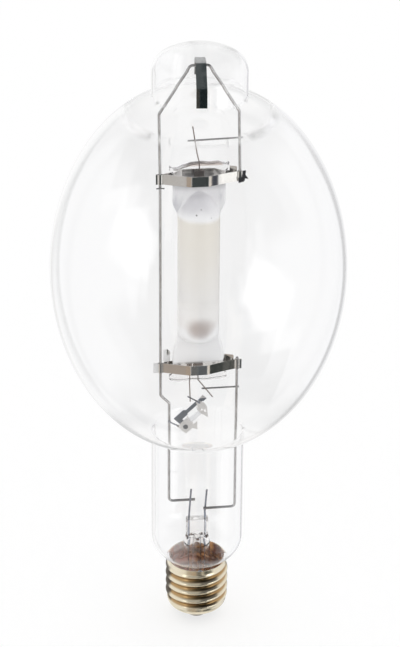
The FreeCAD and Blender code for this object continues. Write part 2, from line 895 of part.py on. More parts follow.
stop_wire = add(
    "Part::Cylinder",
    "stop_wire",
    Radius="Sizes.stop_wire_diameter / 2",
    Height="Sizes.stop_wire_length",
)
stop_wire.Placement = Placement(Vector(0, 0, 0), Rotation(Vector(0, 1, 0), 90))
lift(
    stop_wire,
    x="-Sizes.rod_left_x - Sizes.stop_wire_length / 2",
    y="-(Sizes.rod_diameter + Sizes.stop_wire_diameter) / 2 - Sizes.weld_gap",
    z=f"{pinch_top_sum} - Sizes.upper_strap_drop - Sizes.strap_height / 2 - Sizes.stop_wire_drop",
)
keep("stop_wire", stop_wire)

# Dome spring: a leaf folded over the frame's top, its feet on the dome's wall

leaf = size("spring_thickness") / 2
saddle = rod_r + leaf + weld
spring_z = frame_top + saddle
reach_y = size("spring_reach")
foot_y = reach_y + size("spring_foot_out")
half_line = [
    Vector(0, foot_y, spring_z - size("spring_drop") - size("spring_foot")),
    Vector(0, reach_y, spring_z - size("spring_drop")),
    Vector(0, saddle, spring_z),
]
spring_turn = Rotation(Z_AXIS, size("spring_turn_angle"))
spring_seat = Vector(size("spring_offset"), 0, 0)
spring_line = half_line + [Vector(0, -point.y, point.z) for point in half_line[::-1]]
spring_line = [spring_seat + spring_turn.multVec(point) for point in spring_line]
spring_across = spring_turn.multVec(Vector(1, 0, 0))
keep(
    "dome_spring",
    bent_strip(
        "dome_spring", spring_line, "spring_width", "spring_thickness", "spring_bend", spring_across
    ),
)

# Arc tube: a quartz cylinder with a domed chamber and a flat pinch at each end

low_shoulder = pinch_foot + size("pinch_low_length")
low_root = low_shoulder + size("pinch_low_taper")
straight_foot = low_root + size("pinch_low_lap")
high_shoulder = pinch_top - size("pinch_high_length")
high_root = high_shoulder - size("pinch_high_taper")
straight_top = high_root - size("pinch_high_lap")
straight_sums = {
    "foot": "(Sizes.pinch_foot + Sizes.pinch_low_length + Sizes.pinch_low_taper + Sizes.pinch_low_lap)",
    "top": f"({pinch_top_sum} - Sizes.pinch_high_length - Sizes.pinch_high_taper - Sizes.pinch_high_lap)",
}
chamber_parts = []
for name, inset in (("arc_chamber", "0"), ("arc_cavity", "Sizes.arc_wall")):
    barrel = add(
        "Part::Cylinder",
        name + "_barrel",
        Radius=f"Sizes.arc_diameter / 2 - {inset}",
        Height=f"{straight_sums['top']} - {straight_sums['foot']}",
    )
    lift(barrel, z=straight_sums["foot"])
    ends = []
    for end in ("foot", "top"):
        dome = add(
            "Part::Ellipsoid",
            f"{name}_{end}",
            Radius1=f"Sizes.arc_dome_{end} - {inset}",
            Radius2=f"Sizes.arc_diameter / 2 - {inset}",
            Radius3=f"Sizes.arc_diameter / 2 - {inset}",
        )
        lift(dome, z=straight_sums[end])
        ends.append(dome)
    chamber_parts.append(fuse(name, [barrel] + ends))
arc_chamber, arc_cavity = chamber_parts

half_pinch = size("pinch_width") / 2
half_flare = size("pinch_flare_width") / 2
half_arc = size("arc_diameter") / 2
pinches = []
for name, inward, end, shoulder, root in (
    ("pinch_low", 1, pinch_foot, low_shoulder, low_root),
    ("pinch_high", -1, pinch_top, high_shoulder, high_root),
):
    flare_end = end + inward * size("pinch_flare_length")
    waist = flare_end + inward * size("pinch_flare_run")
    side_line = [(half_flare, end), (half_flare, flare_end), (half_pinch, waist), (half_pinch, shoulder)]
    side_line.append((half_arc, root))
    outline = side_line + [(-x, z) for x, z in side_line[::-1]]
    plate = plate_body(name, outline, "pinch_thickness", -size("pinch_thickness") / 2)
    plate.newObject("PartDesign::Fillet", name + "_edges")
    pinches.append(plate)
doc.recompute()
for plate in pinches:
    rounding = plate.Tip
    pad = doc.getObject(plate.Name + "_pad")
    corner_edges = [
        f"Edge{number + 1}"
        for number, edge in enumerate(pad.Shape.Edges)
        if edge.BoundBox.YLength > size("pinch_thickness") / 2 and abs(edge.CenterOfMass.x) > half_arc
    ]
    rounding.Base = (pad, corner_edges)
    rounding.setExpression("Radius", "Sizes.pinch_edge")
quartz = fuse("arc_quartz", [arc_chamber] + pinches)

# Foils, electrodes and leads in the pinches

foil_half = size("foil_thickness") / 2
seals = {}
pinch_seals = (
    ("lower", 0, "foil_width", pinch_foot, 1),
    ("upper", 0, "foil_width", pinch_top, -1),
    ("starter", -size("starter_offset"), "starter_foil_width", pinch_foot, 1),
)
for name, x, width, pinch_end, inward in pinch_seals:
    near = pinch_end + inward * size("foil_inset")
    far = near + inward * size("foil_length")
    foil = add(
        "Part::Box",
        f"{name}_foil",
        Length=f"Sizes.{width}",
        Width="Sizes.foil_thickness",
        Height="Sizes.foil_length",
    )
    foil.Placement = Placement(
        Vector(x - size(width) / 2, -foil_half, min(near, far)), Rotation()
    )
    seals[name] = (x, near, far)
    keep(f"{name}_foil", foil)

chamber_ends = {
    "lower": straight_foot - size("arc_dome_foot") + size("arc_wall"),
    "upper": straight_top + size("arc_dome_top") - size("arc_wall"),
}
electrode_tools = []
for name, inward in (("lower", 1), ("upper", -1)):
    x, near, far = seals[name]
    tip = chamber_ends[name] + inward * size("electrode_reach")
    rod = add("Part::Cylinder", f"{name}_electrode_rod", Radius="Sizes.electrode_diameter / 2")
    rod.Height = abs(tip - far)
    rod.Placement = Placement(Vector(x, 0, min(tip, far)), Rotation())
    coil_length = size("coil_turns") * size("coil_pitch")
    coil_near = tip - inward * size("coil_setback")
    coil_foot = min(coil_near, coil_near - inward * coil_length)
    helix = add(
        "Part::Helix",
        f"{name}_coil_line",
        Pitch="Sizes.coil_pitch",
        Height="Sizes.coil_turns * Sizes.coil_pitch",
        Radius="(Sizes.electrode_diameter + Sizes.coil_wire) / 2 - Sizes.coil_bite",
    )
    helix.Placement = Placement(Vector(x, 0, coil_foot), Rotation())
    ring = add("Part::Circle", f"{name}_coil_section", Radius="Sizes.coil_wire / 2")
    coil_r = (size("electrode_diameter") + size("coil_wire")) / 2 - size("coil_bite")
    ring.Placement = Placement(Vector(x + coil_r, 0, coil_foot), Rotation(Vector(1, 0, 0), 90))
    coil = doc.addObject("Part::Sweep", f"{name}_coil")
    coil.Sections = [ring]
    coil.Spine = (helix, ["Edge1"])
    coil.Solid = True
    coil.Frenet = True
    electrode_tools.append(rod)
    keep(f"{name}_electrode", fuse(f"{name}_electrode", [rod, coil]))

x, near, far = seals["starter"]
starter_tip = chamber_ends["lower"] + size("starter_electrode_reach")
starter_rod = add(
    "Part::Cylinder", "starter_electrode", Radius="Sizes.starter_electrode_diameter / 2"
)
starter_rod.Height = starter_tip - far
starter_rod.Placement = Placement(Vector(x, 0, far), Rotation())
keep("starter_electrode", starter_rod)
electrode_tools.append(starter_rod)

arc_lead_r = size("arc_lead_diameter") / 2
lead_y = rod_r + weld - arc_lead_r
upper_lean = size("upper_lead_lean")
lower_lean = size("lower_lead_lean")
starter_x = -size("starter_offset")
lead_lines = {
    "upper_lead": [
        Vector(0, 0, seals["upper"][1]),
        Vector(0, 0, pinch_top + size("arc_lead_exit")),
        Vector(-upper_lean, lead_y, pinch_top + size("upper_lead_knee")),
        Vector(-size("upper_lead_tip_x"), lead_y, pinch_top + size("upper_lead_length")),
    ],
    "lower_lead": [
        Vector(0, 0, seals["lower"][1]),
        Vector(0, 0, pinch_foot - size("arc_lead_exit")),
        Vector(lower_lean, lead_y, pinch_foot - size("lower_lead_knee")),
        Vector(size("lower_lead_tip_x"), lead_y, pinch_foot - size("lower_lead_length")),
    ],
    "starter_lead": [
        Vector(starter_x, 0, seals["starter"][1]),
        Vector(starter_x, 0, pinch_foot - size("starter_lead_knee")),
        Vector(starter_x + size("starter_lead_lean"), 0, pinch_foot - size("starter_lead_length")),
    ],
}
leads = {
    name: keep(name, bent_wire(name, points, "arc_lead_diameter", "arc_lead_bend"))
    for name, points in lead_lines.items()
}
seal_tools = [pieces[f"{name}_foil"] for name in seals]
arc_tools = compound("arc_tools", [arc_cavity] + seal_tools + electrode_tools + list(leads.values()))
keep("arc_tube", cut("arc_tube", quartz, arc_tools))

# Condensed halide salt: the bottom of the cavity up to the pool's depth

pool_block = add(
    "Part::Cylinder", "pool_block", Radius="Sizes.arc_diameter / 2", Height="Sizes.pool_depth"
)
lift(pool_block, z=f"{straight_sums['foot']} - Sizes.arc_dome_foot + Sizes.arc_wall")
pool_dome = add(
    "Part::Ellipsoid",
    "pool_dome",
    Radius1="Sizes.arc_dome_foot - Sizes.arc_wall - Sizes.weld_gap",
    Radius2="Sizes.arc_diameter / 2 - Sizes.arc_wall - Sizes.weld_gap",
    Radius3="Sizes.arc_diameter / 2 - Sizes.arc_wall - Sizes.weld_gap",
)
lift(pool_dome, z=straight_sums["foot"])
pool_form = doc.addObject("Part::Common", "pool_form")
pool_form.Base = pool_block
pool_form.Tool = pool_dome
pool_rods = compound("pool_rods", [electrode_tools[0], starter_rod])
keep("halide_pool", cut("halide_pool", pool_form, pool_rods))

# Straps: two thin strips round each pinch, crimped on the frame's rods

strap_t = size("strap_thickness")
crimp = size("strap_crimp")
step = size("strap_step")
grip = rod_r + strap_t / 2 + weld
pinch_touch = size("pinch_thickness") / 2 + strap_t / 2 + size("strap_clear")


def strap_line(side, flat, bow, tab_left, tab_right, height):
    """Centre line of half a strap in plan: tab, wrap round the rod, wing and flat middle."""
    lap = strap_t / 2
    left = [
        (-left_x - crimp - step - tab_left, lap),
        (-left_x - crimp - step, lap),
        (-left_x - crimp, grip),
        (-left_x + crimp, grip),
        (-left_x + crimp + step, lap),
        (-half_pinch, pinch_touch),
        (-flat, bow),
    ]
    right = [
        (flat, bow),
        (half_pinch, pinch_touch),
        (right_x - crimp - step, lap),
        (right_x - crimp, grip),
        (right_x + crimp, grip),
        (right_x + crimp + step, lap),
        (right_x + crimp + step + tab_right, lap),
    ]
    return [Vector(x, side * y, height) for x, y in left + right]


def strap_strip(name, line):
    return bent_strip(name, line, "strap_height", "strap_thickness", "strap_bend", Z_AXIS)


def lug(name, line, near, setback, width, rise, corner):
    """Upright lug on a strap's top edge, in the plane of the run that starts at point near."""
    foot = line[near]
    along = (line[near + 1] - line[near]).normalize()
    root = -size("lug_root")
    outline = [(0, root), (width, root), (width, rise - corner), (width - corner, rise), (0, rise)]
    body = plate_body(name, outline, "strap_thickness", -strap_t / 2)
    turn = math.degrees(math.atan2(along.y, along.x))
    base = foot + along * setback + Vector(0, 0, size("strap_height") / 2)
    body.Placement = Placement(base, Rotation(Z_AXIS, turn))
    return body


left_wing = 4
right_wing = 8
lug_setback = size("lug_setback")
lug_ends = (size("short_lug_rise"), size("short_lug_corner"))
right_lugs = {
    "upper": (half_flare - half_pinch + lug_setback, size("upper_lug_width"), *lug_ends),
    "lower": (lug_setback, size("lower_lug_width"), *lug_ends),
}
long_lug = (lug_setback, size("long_lug_width"), size("long_lug_rise"), size("long_lug_corner"))
for level, height in (("upper", upper_strap_height), ("lower", lower_strap_height)):
    tabs = (size(f"{level}_tab_left"), size(f"{level}_tab_right"))
    front_line = strap_line(-1, size("strap_front_half"), size("strap_front_bow"), *tabs, height)
    back_line = strap_line(1, size("strap_back_half"), size("strap_back_bow"), *tabs, height)
    keep(f"{level}_strap_front", strap_strip(f"{level}_strap_front", front_line))
    back_parts = [
        strap_strip(f"{level}_strap_back_strip", back_line),
        lug(f"{level}_lug_right", back_line, right_wing, *right_lugs[level]),
    ]
    if level == "lower":
        back_parts.append(lug("lower_lug_left", back_line, left_wing, *long_lug))
    keep(f"{level}_strap_back", fuse(f"{level}_strap_back", back_parts))

# Clip on the frame's right leg, folded like a bow tie

clip_front = grip + strap_t / 2 + weld
clip_outline = [
    (-1.2, -0.7),
    (0.1, -1.3),
    (1.1, 0.1),
    (1.7, 3.9),
    (3.4, 4.0),
    (3.1, 1.2),
    (5.0, -1.5),
    (2.5, -1.0),
    (2.1, -3.3),
    (-0.9, -3.5),
]
leg_clip = plate_body("leg_clip", clip_outline, "clip_thickness", clip_front)
leg_clip.Placement = Placement(Vector(right_x, 0, upper_strap_height), Rotation())
keep("leg_clip", leg_clip)

# Starter switch: a bimetal strip that rests near a rivet and bends away from it when hot

switch_height = pinch_foot - size("switch_drop")
switch_place = Placement(
    Vector(-size("switch_x"), 0, switch_height),
    Rotation(Vector(0, 1, 0), -size("switch_tilt")),
)


def switch_plate(name, outline, thickness, depth):
    """Plate in the switch's own frame: along the strip, across it, and out to the front."""
    body = plate_body(name, outline, thickness, depth)
    body.Placement = switch_place
    return body


def switch_point(along, across, depth):
    return switch_place.multVec(Vector(along, -depth, across))


half_strip = size("strip_thickness") / 2
wide_low = size("strip_wide_rise") - size("strip_wide") / 2
wide_high = wide_low + size("strip_wide")
narrow = size("strip_narrow")
narrow_low = size("strip_narrow_rise") - narrow / 2
wide_end = size("strip_wide_length")
tab_width = size("strip_tab_width")
tab_foot = size("rivet_along") - tab_width / 2
strip_outline = [
    (tab_foot, -size("strip_tab_reach")),
    (tab_foot + tab_width, -size("strip_tab_reach")),
    (tab_foot + tab_width, wide_low),
    (wide_end, wide_low),
    (wide_end, narrow_low),
    (size("strip_hinge"), narrow_low),
    (size("strip_hinge"), narrow_low + narrow),
    (wide_end + size("strip_shoulder"), narrow_low + narrow),
    (wide_end, wide_high),
    (tab_foot, wide_high),
]
keep("bimetal_strip", switch_plate("bimetal_strip", strip_outline, "strip_thickness", -half_strip))

bracket_rear = half_strip + size("bracket_gap")
anchor_start = size("strip_hinge") + size("strip_gap")
anchor_step = size("anchor_step")
anchor_end = size("anchor_end")
half_anchor = size("anchor_width") / 2
anchor_outline = [
    (anchor_start, -narrow / 2),
    (anchor_step, -narrow / 2),
    (anchor_step, -half_anchor),
    (anchor_end, -half_anchor),
    (anchor_end, half_anchor),
    (anchor_step, half_anchor),
    (anchor_step, narrow / 2),
    (anchor_start, narrow / 2),
]
anchor = switch_plate("strip_anchor", anchor_outline, "strip_thickness", -half_strip)
anchor.Tip.setExpression("Length", "Sizes.strip_thickness + Sizes.bracket_gap")
keep("strip_anchor", anchor)

# Lower bracket: a folded plate that holds the rivet, with an ear below the spacer
plate_front = size("plate_front")
plate_t = size("plate_thickness")
flange_depth = size("flange_depth")
flange_near = -size("flange_near")
flange_far = -size("flange_far")


def flange(name, fold, depth):
    """Turned edge of a bracket, running back from its face."""
    inner = fold - plate_t
    outline = [(inner, flange_near), (fold, flange_near), (fold, flange_far), (inner, flange_far)]
    return switch_plate(name, outline, "flange_depth", depth + plate_t / 2 - flange_depth)


fold = size("lower_fold")
lower_outline = [
    (-2.7, -2.1),
    (fold, -2.0),
    (fold, -8.6),
    (8.6, -8.4),
    (4.6, -12.8),
    (2.9, -9.9),
    (-2.6, -9.9),
]
lower_face = switch_plate("switch_bracket_lower_face", lower_outline, "plate_thickness", plate_front)
lower_flange = flange("switch_bracket_lower_flange", fold, plate_front)
rivet_hole = add(
    "Part::Cylinder",
    "rivet_hole",
    Radius="Sizes.rivet_radius - Sizes.rivet_head",
    Height="Sizes.hole_depth",
)
rivet_axis = Rotation(Vector(1, 0, 0), 90)
rivet_along = size("rivet_along")
rivet_across = -size("rivet_across")
rivet_hole.Placement = Placement(
    switch_point(rivet_along, rivet_across, plate_front - plate_t), rivet_axis
)
lower_plate = fuse("switch_bracket_lower_plate", [lower_face, lower_flange])
keep("switch_bracket_lower", cut("switch_bracket_lower", lower_plate, rivet_hole))

# Rivet: a shank in the bracket's hole with a head on each side
rivet_rear = half_strip + size("strip_gap")
shank = add(
    "Part::Cylinder", "rivet_shank", Radius="Sizes.rivet_radius - Sizes.rivet_head - Sizes.weld_gap"
)
shank.Height = plate_front + plate_t + size("rivet_head") - rivet_rear
shank.Placement = Placement(switch_point(rivet_along, rivet_across, rivet_rear), rivet_axis)
front_head = add("Part::Cylinder", "rivet_front", Radius="Sizes.rivet_radius", Height="Sizes.rivet_head")
front_head.Placement = Placement(
    switch_point(rivet_along, rivet_across, plate_front + plate_t + weld), rivet_axis
)
rear_head = add("Part::Cylinder", "rivet_rear", Radius="Sizes.rivet_radius", Height="Sizes.rivet_head")
rear_head.Placement = Placement(
    switch_point(rivet_along, rivet_across, plate_front - size("rivet_head") - weld), rivet_axis
)
keep("contact_rivet", fuse("contact_rivet", [shank, front_head, rear_head]))

# Upper bracket: a plate in front of the strip's root, with a hole and a window
upper_fold = size("upper_fold")
upper_outline = [(18.6, 1.5), (20.2, -2.4), (19.6, -5.9), (14.6, -12.0), (13.8, -6.5), (16.6, 0.9)]
upper_face = switch_plate("switch_bracket_upper_face", upper_outline, "plate_thickness", bracket_rear)
upper_flange = flange("switch_bracket_upper_flange", upper_fold + plate_t, bracket_rear)
eye = add("Part::Cylinder", "bracket_eye", Radius="Sizes.eye_radius", Height="Sizes.hole_depth")
eye.Placement = Placement(
    switch_point(size("eye_along"), -size("eye_across"), bracket_rear - plate_t), rivet_axis
)
window = switch_plate(
    "bracket_window",
    [(16.6, -6.0), (17.6, -6.6), (16.6, -8.6), (15.8, -7.6)],
    "flange_depth",
    bracket_rear - plate_t,
)
upper_plate = fuse("switch_bracket_upper_plate", [upper_face, upper_flange])
upper_holes = compound("bracket_holes", [eye, window])
keep("switch_bracket_upper", cut("switch_bracket_upper", upper_plate, upper_holes))

spacer = add(
    "Part::Cylinder",
    "switch_spacer",
    Radius="Sizes.spacer_radius",
    Height="Sizes.upper_fold - Sizes.lower_fold - 2 * Sizes.weld_gap",
)
spacer.Placement = Placement(
    switch_point(fold + weld, rivet_across, 0.0),
    switch_place.Rotation * Rotation(Vector(0, 1, 0), 90),
)
keep("switch_spacer", spacer)

# Leads of the switch: one from the left rod, one to the starter lead
switch_lead_r = size("switch_lead_diameter") / 2
rod_front = rod_r + switch_lead_r + weld
plate_back = plate_front - switch_lead_r - weld
rod_weld = Vector(-low_x - rod_r, -rod_front, switch_height + size("left_lead_rise"))
left_landing = switch_point(-size("left_landing_back"), -size("left_landing_across"), plate_back)
left_middle = (rod_weld + left_landing) / 2 - Vector(0, 0, size("left_lead_sag"))
left_line = [rod_weld, left_middle, left_landing]
keep("switch_lead_left", bent_wire("switch_lead_left", left_line, "switch_lead_diameter", "rod_bend"))

bracket_face = bracket_rear + plate_t + switch_lead_r + weld
starter_front = arc_lead_r + switch_lead_r + weld
over = Vector(starter_x - size("right_lead_overrun"), -starter_front, pinch_foot - size("right_lead_drop"))
right_knee = switch_point(size("right_knee_along"), size("right_knee_across"), bracket_face)
right_landing = switch_point(
    size("right_landing_along"), -size("right_landing_across"), bracket_face
)
right_line = [over, right_knee, right_landing]
keep("switch_lead_right", bent_wire("switch_lead_right", right_line, "switch_lead_diameter", "rod_bend"))

doc.recompute()

# Every object has to be sound before anything is written
for item in doc.Objects:
    if "Invalid" in item.State or "Error" in item.State:
        raise RuntimeError(f"{item.Name} failed: {item.State}")
for label, item in pieces.items():
    if item.Shape.isNull() or not item.Shape.isValid():
        raise RuntimeError(f"{label} has no sound shape")

os.makedirs("parts", exist_ok=True)
for label, item in pieces.items():
    item.Shape.exportStep(f"parts/{label}.step")
    print(label, len(item.Shape.Solids), round(item.Shape.Volume, 2))
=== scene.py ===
import math

import bpy
from mathutils import Matrix, Vector
from mathutils.bvhtree import BVHTree


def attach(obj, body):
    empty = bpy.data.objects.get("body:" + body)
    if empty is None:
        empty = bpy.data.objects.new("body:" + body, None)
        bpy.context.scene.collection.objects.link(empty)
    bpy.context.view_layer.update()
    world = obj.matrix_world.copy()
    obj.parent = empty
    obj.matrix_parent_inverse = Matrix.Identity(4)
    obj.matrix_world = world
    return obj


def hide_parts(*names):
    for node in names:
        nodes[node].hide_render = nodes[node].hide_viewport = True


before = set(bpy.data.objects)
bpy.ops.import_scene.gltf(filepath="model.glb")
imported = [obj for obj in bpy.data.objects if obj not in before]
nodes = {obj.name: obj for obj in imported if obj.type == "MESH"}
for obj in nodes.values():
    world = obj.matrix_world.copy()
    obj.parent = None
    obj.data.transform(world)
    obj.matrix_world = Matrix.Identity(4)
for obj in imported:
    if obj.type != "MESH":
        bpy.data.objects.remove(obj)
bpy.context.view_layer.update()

mm = 0.001
scene = bpy.context.scene


# Camera: above the lamp and a little to the left of the wire frame's front

print("stage 1: camera")
cameraSettings = {
    "distance": 1.4877,
    "elevation": 28.43,
    "azimuth": -7.0,
    "aimHeight": 0.2107,
    "aimSide": 0.0011,
    "roll": 0.4,
    "focalPixels": 2458.2,
    "imageHeight": 647,
    "sensorWidth": 36,
    "nearest": 0.1,
    "farthest": 30,
}


def makeCamera(s):
    data = bpy.data.cameras.new("camera")
    data.sensor_width = s["sensorWidth"]
    data.lens = s["focalPixels"] / s["imageHeight"] * data.sensor_width
    data.clip_start = s["nearest"]
    data.clip_end = s["farthest"]
    turn = math.radians(s["azimuth"])
    rise = math.radians(s["elevation"])
    back = Vector((math.sin(turn) * math.cos(rise), -math.cos(turn) * math.cos(rise), math.sin(rise)))
    right = Vector((math.cos(turn), math.sin(turn), 0))
    camera = bpy.data.objects.new("camera", data)
    camera.location = Vector((0, 0, s["aimHeight"])) + back * s["distance"]
    aim = Vector((0, 0, s["aimHeight"])) + right * s["aimSide"]
    look = (aim - camera.location).to_track_quat("-Z", "Y")
    camera.rotation_mode = "QUATERNION"
    camera.rotation_quaternion = look @ Matrix.Rotation(math.radians(s["roll"]), 4, "Z").to_quaternion()
    scene.collection.objects.link(camera)
    scene.camera = camera


makeCamera(cameraSettings)
scene.view_settings.view_transform = "Standard"


# Node maths: a Link is an output socket that does arithmetic by adding Math nodes

class Link:
    def __init__(self, net, socket):
        self.net = net
        self.socket = socket

    def out(self, name):
        return Link(self.net, self.socket.node.outputs[name])

    def math(self, operation, *others, clamp=False):
        settings = {"operation": operation, "use_clamp": clamp}
        return self.net.node("ShaderNodeMath", settings, dict(enumerate((self,) + others)))

    def __add__(self, other):
        return self.math("ADD", other)

    def __radd__(self, other):
        return self.math("ADD", other)

    def __sub__(self, other):
        return self.math("SUBTRACT", other)

    def __rsub__(self, other):
        return self.math("MULTIPLY", -1).math("ADD", other)

    def __mul__(self, other):
        return self.math("MULTIPLY", other)

    def __truediv__(self, other):
        return self.math("DIVIDE", other)

    def __pow__(self, other):
        return self.math("POWER", other)

    def clamp(self):
        return self.math("ADD", 0, clamp=True)

    def step(self, low, high):
        # smooth step from 0 at low to 1 at high
        settings = {"interpolation_type": "SMOOTHSTEP"}
        sockets = {"Value": self, "From Min": low, "From Max": high}
        return self.net.node("ShaderNodeMapRange", settings, sockets)

    def band(self, low, high, soft):
        return self.step(low - soft, low + soft) * (1 - self.step(high - soft, high + soft))


class Net:
    def __init__(self, tree):
        self.tree = tree

    def node(self, kind, settings=None, inputs=None):
        item = self.tree.nodes.new(kind)
        for name, value in (settings or {}).items():
            setattr(item, name, value)
        for name, value in (inputs or {}).items():
            if isinstance(value, Link):
                self.tree.links.new(value.socket, item.inputs[name])
            else:
                item.inputs[name].default_value = value
        outputs = [socket for socket in item.outputs if socket.enabled]
        return Link(self, outputs[0]) if outputs else item

    def position(self):
        return self.node("ShaderNodeTexCoord").out("Object")

    def axes(self, vector):
        split = self.node("ShaderNodeSeparateXYZ", None, {0: vector})
        return split.out("X"), split.out("Y"), split.out("Z")

    def noise(self, vector, scale, detail=3.0):
        sizes = {"Vector": vector, "Scale": scale, "Detail": detail}
        return self.node("ShaderNodeTexNoise", None, sizes).out("Fac")

    def stretched(self, vector, scale):
        # the same vector with each axis scaled by its own number
        return self.node("ShaderNodeMapping", None, {"Vector": vector, "Scale": scale})

    def mix(self, share, first, second):
        return self.node("ShaderNodeMix", {"data_type": "RGBA"}, {0: share, 6: first, 7: second})

    def blend(self, share, first, second):
        return self.node("ShaderNodeMixShader", None, {"Fac": share, 1: first, 2: second})

    def bump(self, height, distance, strength=1.0):
        sizes = {"Height": height, "Distance": distance, "Strength": strength}
        return self.node("ShaderNodeBump", None, sizes)

    def clear(self, colour):
        return self.node("ShaderNodeBsdfTransparent", None, {"Color": colour})

    def principled(self, **inputs):
        named = {name.replace("_", " "): value for name, value in inputs.items()}
        return self.node("ShaderNodeBsdfPrincipled", None, named)


def newMaterial(name, build):
    material = bpy.data.materials.new(name)
    material.use_nodes = True
    material.node_tree.nodes.clear()
    net = Net(material.node_tree)
    net.node("ShaderNodeOutputMaterial", None, {"Surface": build(net)})
    return material


def grey(level):
    return (level, level, level, 1)


def seenRay(path):
    # 1 for what the eye sees, directly or through glass
    return path.out("Is Camera Ray").math("MAXIMUM", path.out("Is Transmission Ray"))


def lightRay(path):
    # 1 for the rays that gather light for other surfaces
    return path.out("Is Shadow Ray").math("MAXIMUM", path.out("Is Diffuse Ray"))


# Studio: white all round for the eye, and panels, soft boxes and a dark front for metal and glass

print("stage 2: studio")
studioSettings = {
    "white": 1.0,
    "ambient": 1.0,
    "mirrorBase": 0.45,
    "floorGlow": 0.7,
    "floorAlbedo": 0.3,
    "floorUnseen": 0.8,
    "floorSize": 6.0,
}
# each patch: azimuth from and to, elevation from and to, softness and turn, all in degrees, and
# its colour; a later patch covers an earlier one
studioPatches = {
    "frontUpper": (4, 43, -8, 62, 5, 0, (0.12, 0.12, 0.13, 1)),
    "leftPanel": (-122, -46, -54, 36, 6, 0, (0.95, 0.95, 0.95, 1)),
    "rightPanel": (45, 146, -47, 33, 6, 0, (0.92, 0.92, 0.94, 1)),
    "rightShade": (26, 74, 12, 70, 4, 0, (0.12, 0.12, 0.13, 1)),
    "backLeft": (-181, -126, -91, 60, 8, 0, (1.0, 1.0, 1.0, 1)),
    "domeShade": (118, 165, 52, 85, 6, 0, (0.05, 0.05, 0.05, 1)),
    "rimShade": (139, 160, -70, -4, 3, 0, (0.08, 0.08, 0.08, 1)),
    "backRight": (150, 181, -91, 60, 8, 0, (0.88, 0.88, 0.88, 1)),
    "lowRight": (100, 155, -91, -45, 6, 0, (0.88, 0.88, 0.88, 1)),
    "leftBox": (-54, -41, -13, 20, 3.0, 15, (1.9, 1.9, 1.9, 1)),
    "leftNear": (-45, -24, -27.3, 5, 1.0, 0, (0.66, 0.64, 0.62, 1)),
    "leftLow": (-45, -24, -50, -27.3, 1.0, 0, (0.47, 0.41, 0.36, 1)),
    "fold": (-24, -7.5, -50, -10, 1.0, 0, (0.5, 0.41, 0.33, 1)),
    "front": (-6.5, 14.5, -27.3, -10, 0.8, 0, (0.02, 0.03, 0.03, 1)),
    "frontLow": (-6.5, 14.5, -50, -27.3, 0.8, 0, (0.14, 0.15, 0.16, 1)),
    "rightDark": (20.5, 33, -27.3, -10, 4.0, 0, (0.02, 0.025, 0.05, 1)),
    "rightNear": (34, 62, -27.3, -20, 2.0, 0, (1.4, 1.4, 1.4, 1)),
    "rightBox": (28.5, 52.5, -20, 3, 3.0, -35, (2.2, 2.2, 2.2, 1)),
    "rightLow": (20, 56, -50, -27.3, 1.0, 0, (0.05, 0.055, 0.05, 1)),
    "sliver": (14.5, 20, -50, -10, 0.6, 0, (1.0, 0.93, 0.84, 1)),
    "floorTone": (-100, 100, -91, -62, 5, 0, (1.0, 0.98, 0.96, 1)),
}


def makeWorld(s, patches):
    world = bpy.data.worlds.new("studio")
    world.use_nodes = True
    world.node_tree.nodes.clear()
    net = Net(world.node_tree)
    x, y, z = net.axes(net.node("ShaderNodeTexCoord").out("Generated"))
    azimuth = x.math("ARCTAN2", y * -1).math("DEGREES")
    elevation = z.math("ARCSINE").math("DEGREES")
    path = net.node("ShaderNodeLightPath")

    colour = grey(s["mirrorBase"])
    for left, right, low, high, soft, turn, tone in patches.values():
        across = azimuth - (left + right) / 2
        up = elevation - (low + high) / 2
        lean = math.radians(turn)
        u = across * math.cos(lean) + up * math.sin(lean)
        v = up * math.cos(lean) - across * math.sin(lean)
        wide = (right - left) / 2
        tall = (high - low) / 2
        colour = net.mix(u.band(-wide, wide, soft) * v.band(-tall, tall, soft), colour, tone)
    colour = net.mix(path.out("Is Glossy Ray"), grey(s["ambient"]), colour)
    colour = net.mix(seenRay(path), colour, grey(s["white"]))
    shade = net.node("ShaderNodeBackground", None, {"Color": colour})
    net.node("ShaderNodeOutputWorld", None, {"Surface": shade})
    scene.world = world


def floorShade(net):
    # the eye sees a glowing floor that still takes the shadow, and other rays a plain one
    s = studioSettings
    seen = seenRay(net.node("ShaderNodeLightPath"))
    plain = net.node("ShaderNodeBsdfDiffuse", None, {"Color": grey(s["floorUnseen"])})
    shadowed = net.node("ShaderNodeBsdfDiffuse", None, {"Color": grey(s["floorAlbedo"])})
    glow = net.node("ShaderNodeEmission", None, {"Color": grey(1), "Strength": s["floorGlow"]})
    pale = net.node("ShaderNodeAddShader", None, {0: shadowed, 1: glow})
    return net.blend(seen, plain, pale)


def makeFloor(s):
    mesh = bpy.data.meshes.new("floor")
    half = s["floorSize"] / 2
    corners = [(-half, -half, 0), (half, -half, 0), (half, half, 0), (-half, half, 0)]
    mesh.from_pydata(corners, [], [(0, 1, 2, 3)])
    mesh.materials.append(newMaterial("paleFloor", floorShade))
    floor = bpy.data.objects.new("floor", mesh)
    floor.visible_glossy = False
    scene.collection.objects.link(floor)


makeWorld(studioSettings, studioPatches)
makeFloor(studioSettings)


# Finishes: a pair of numbers is where a soft edge begins and ends, in metres where it is a place

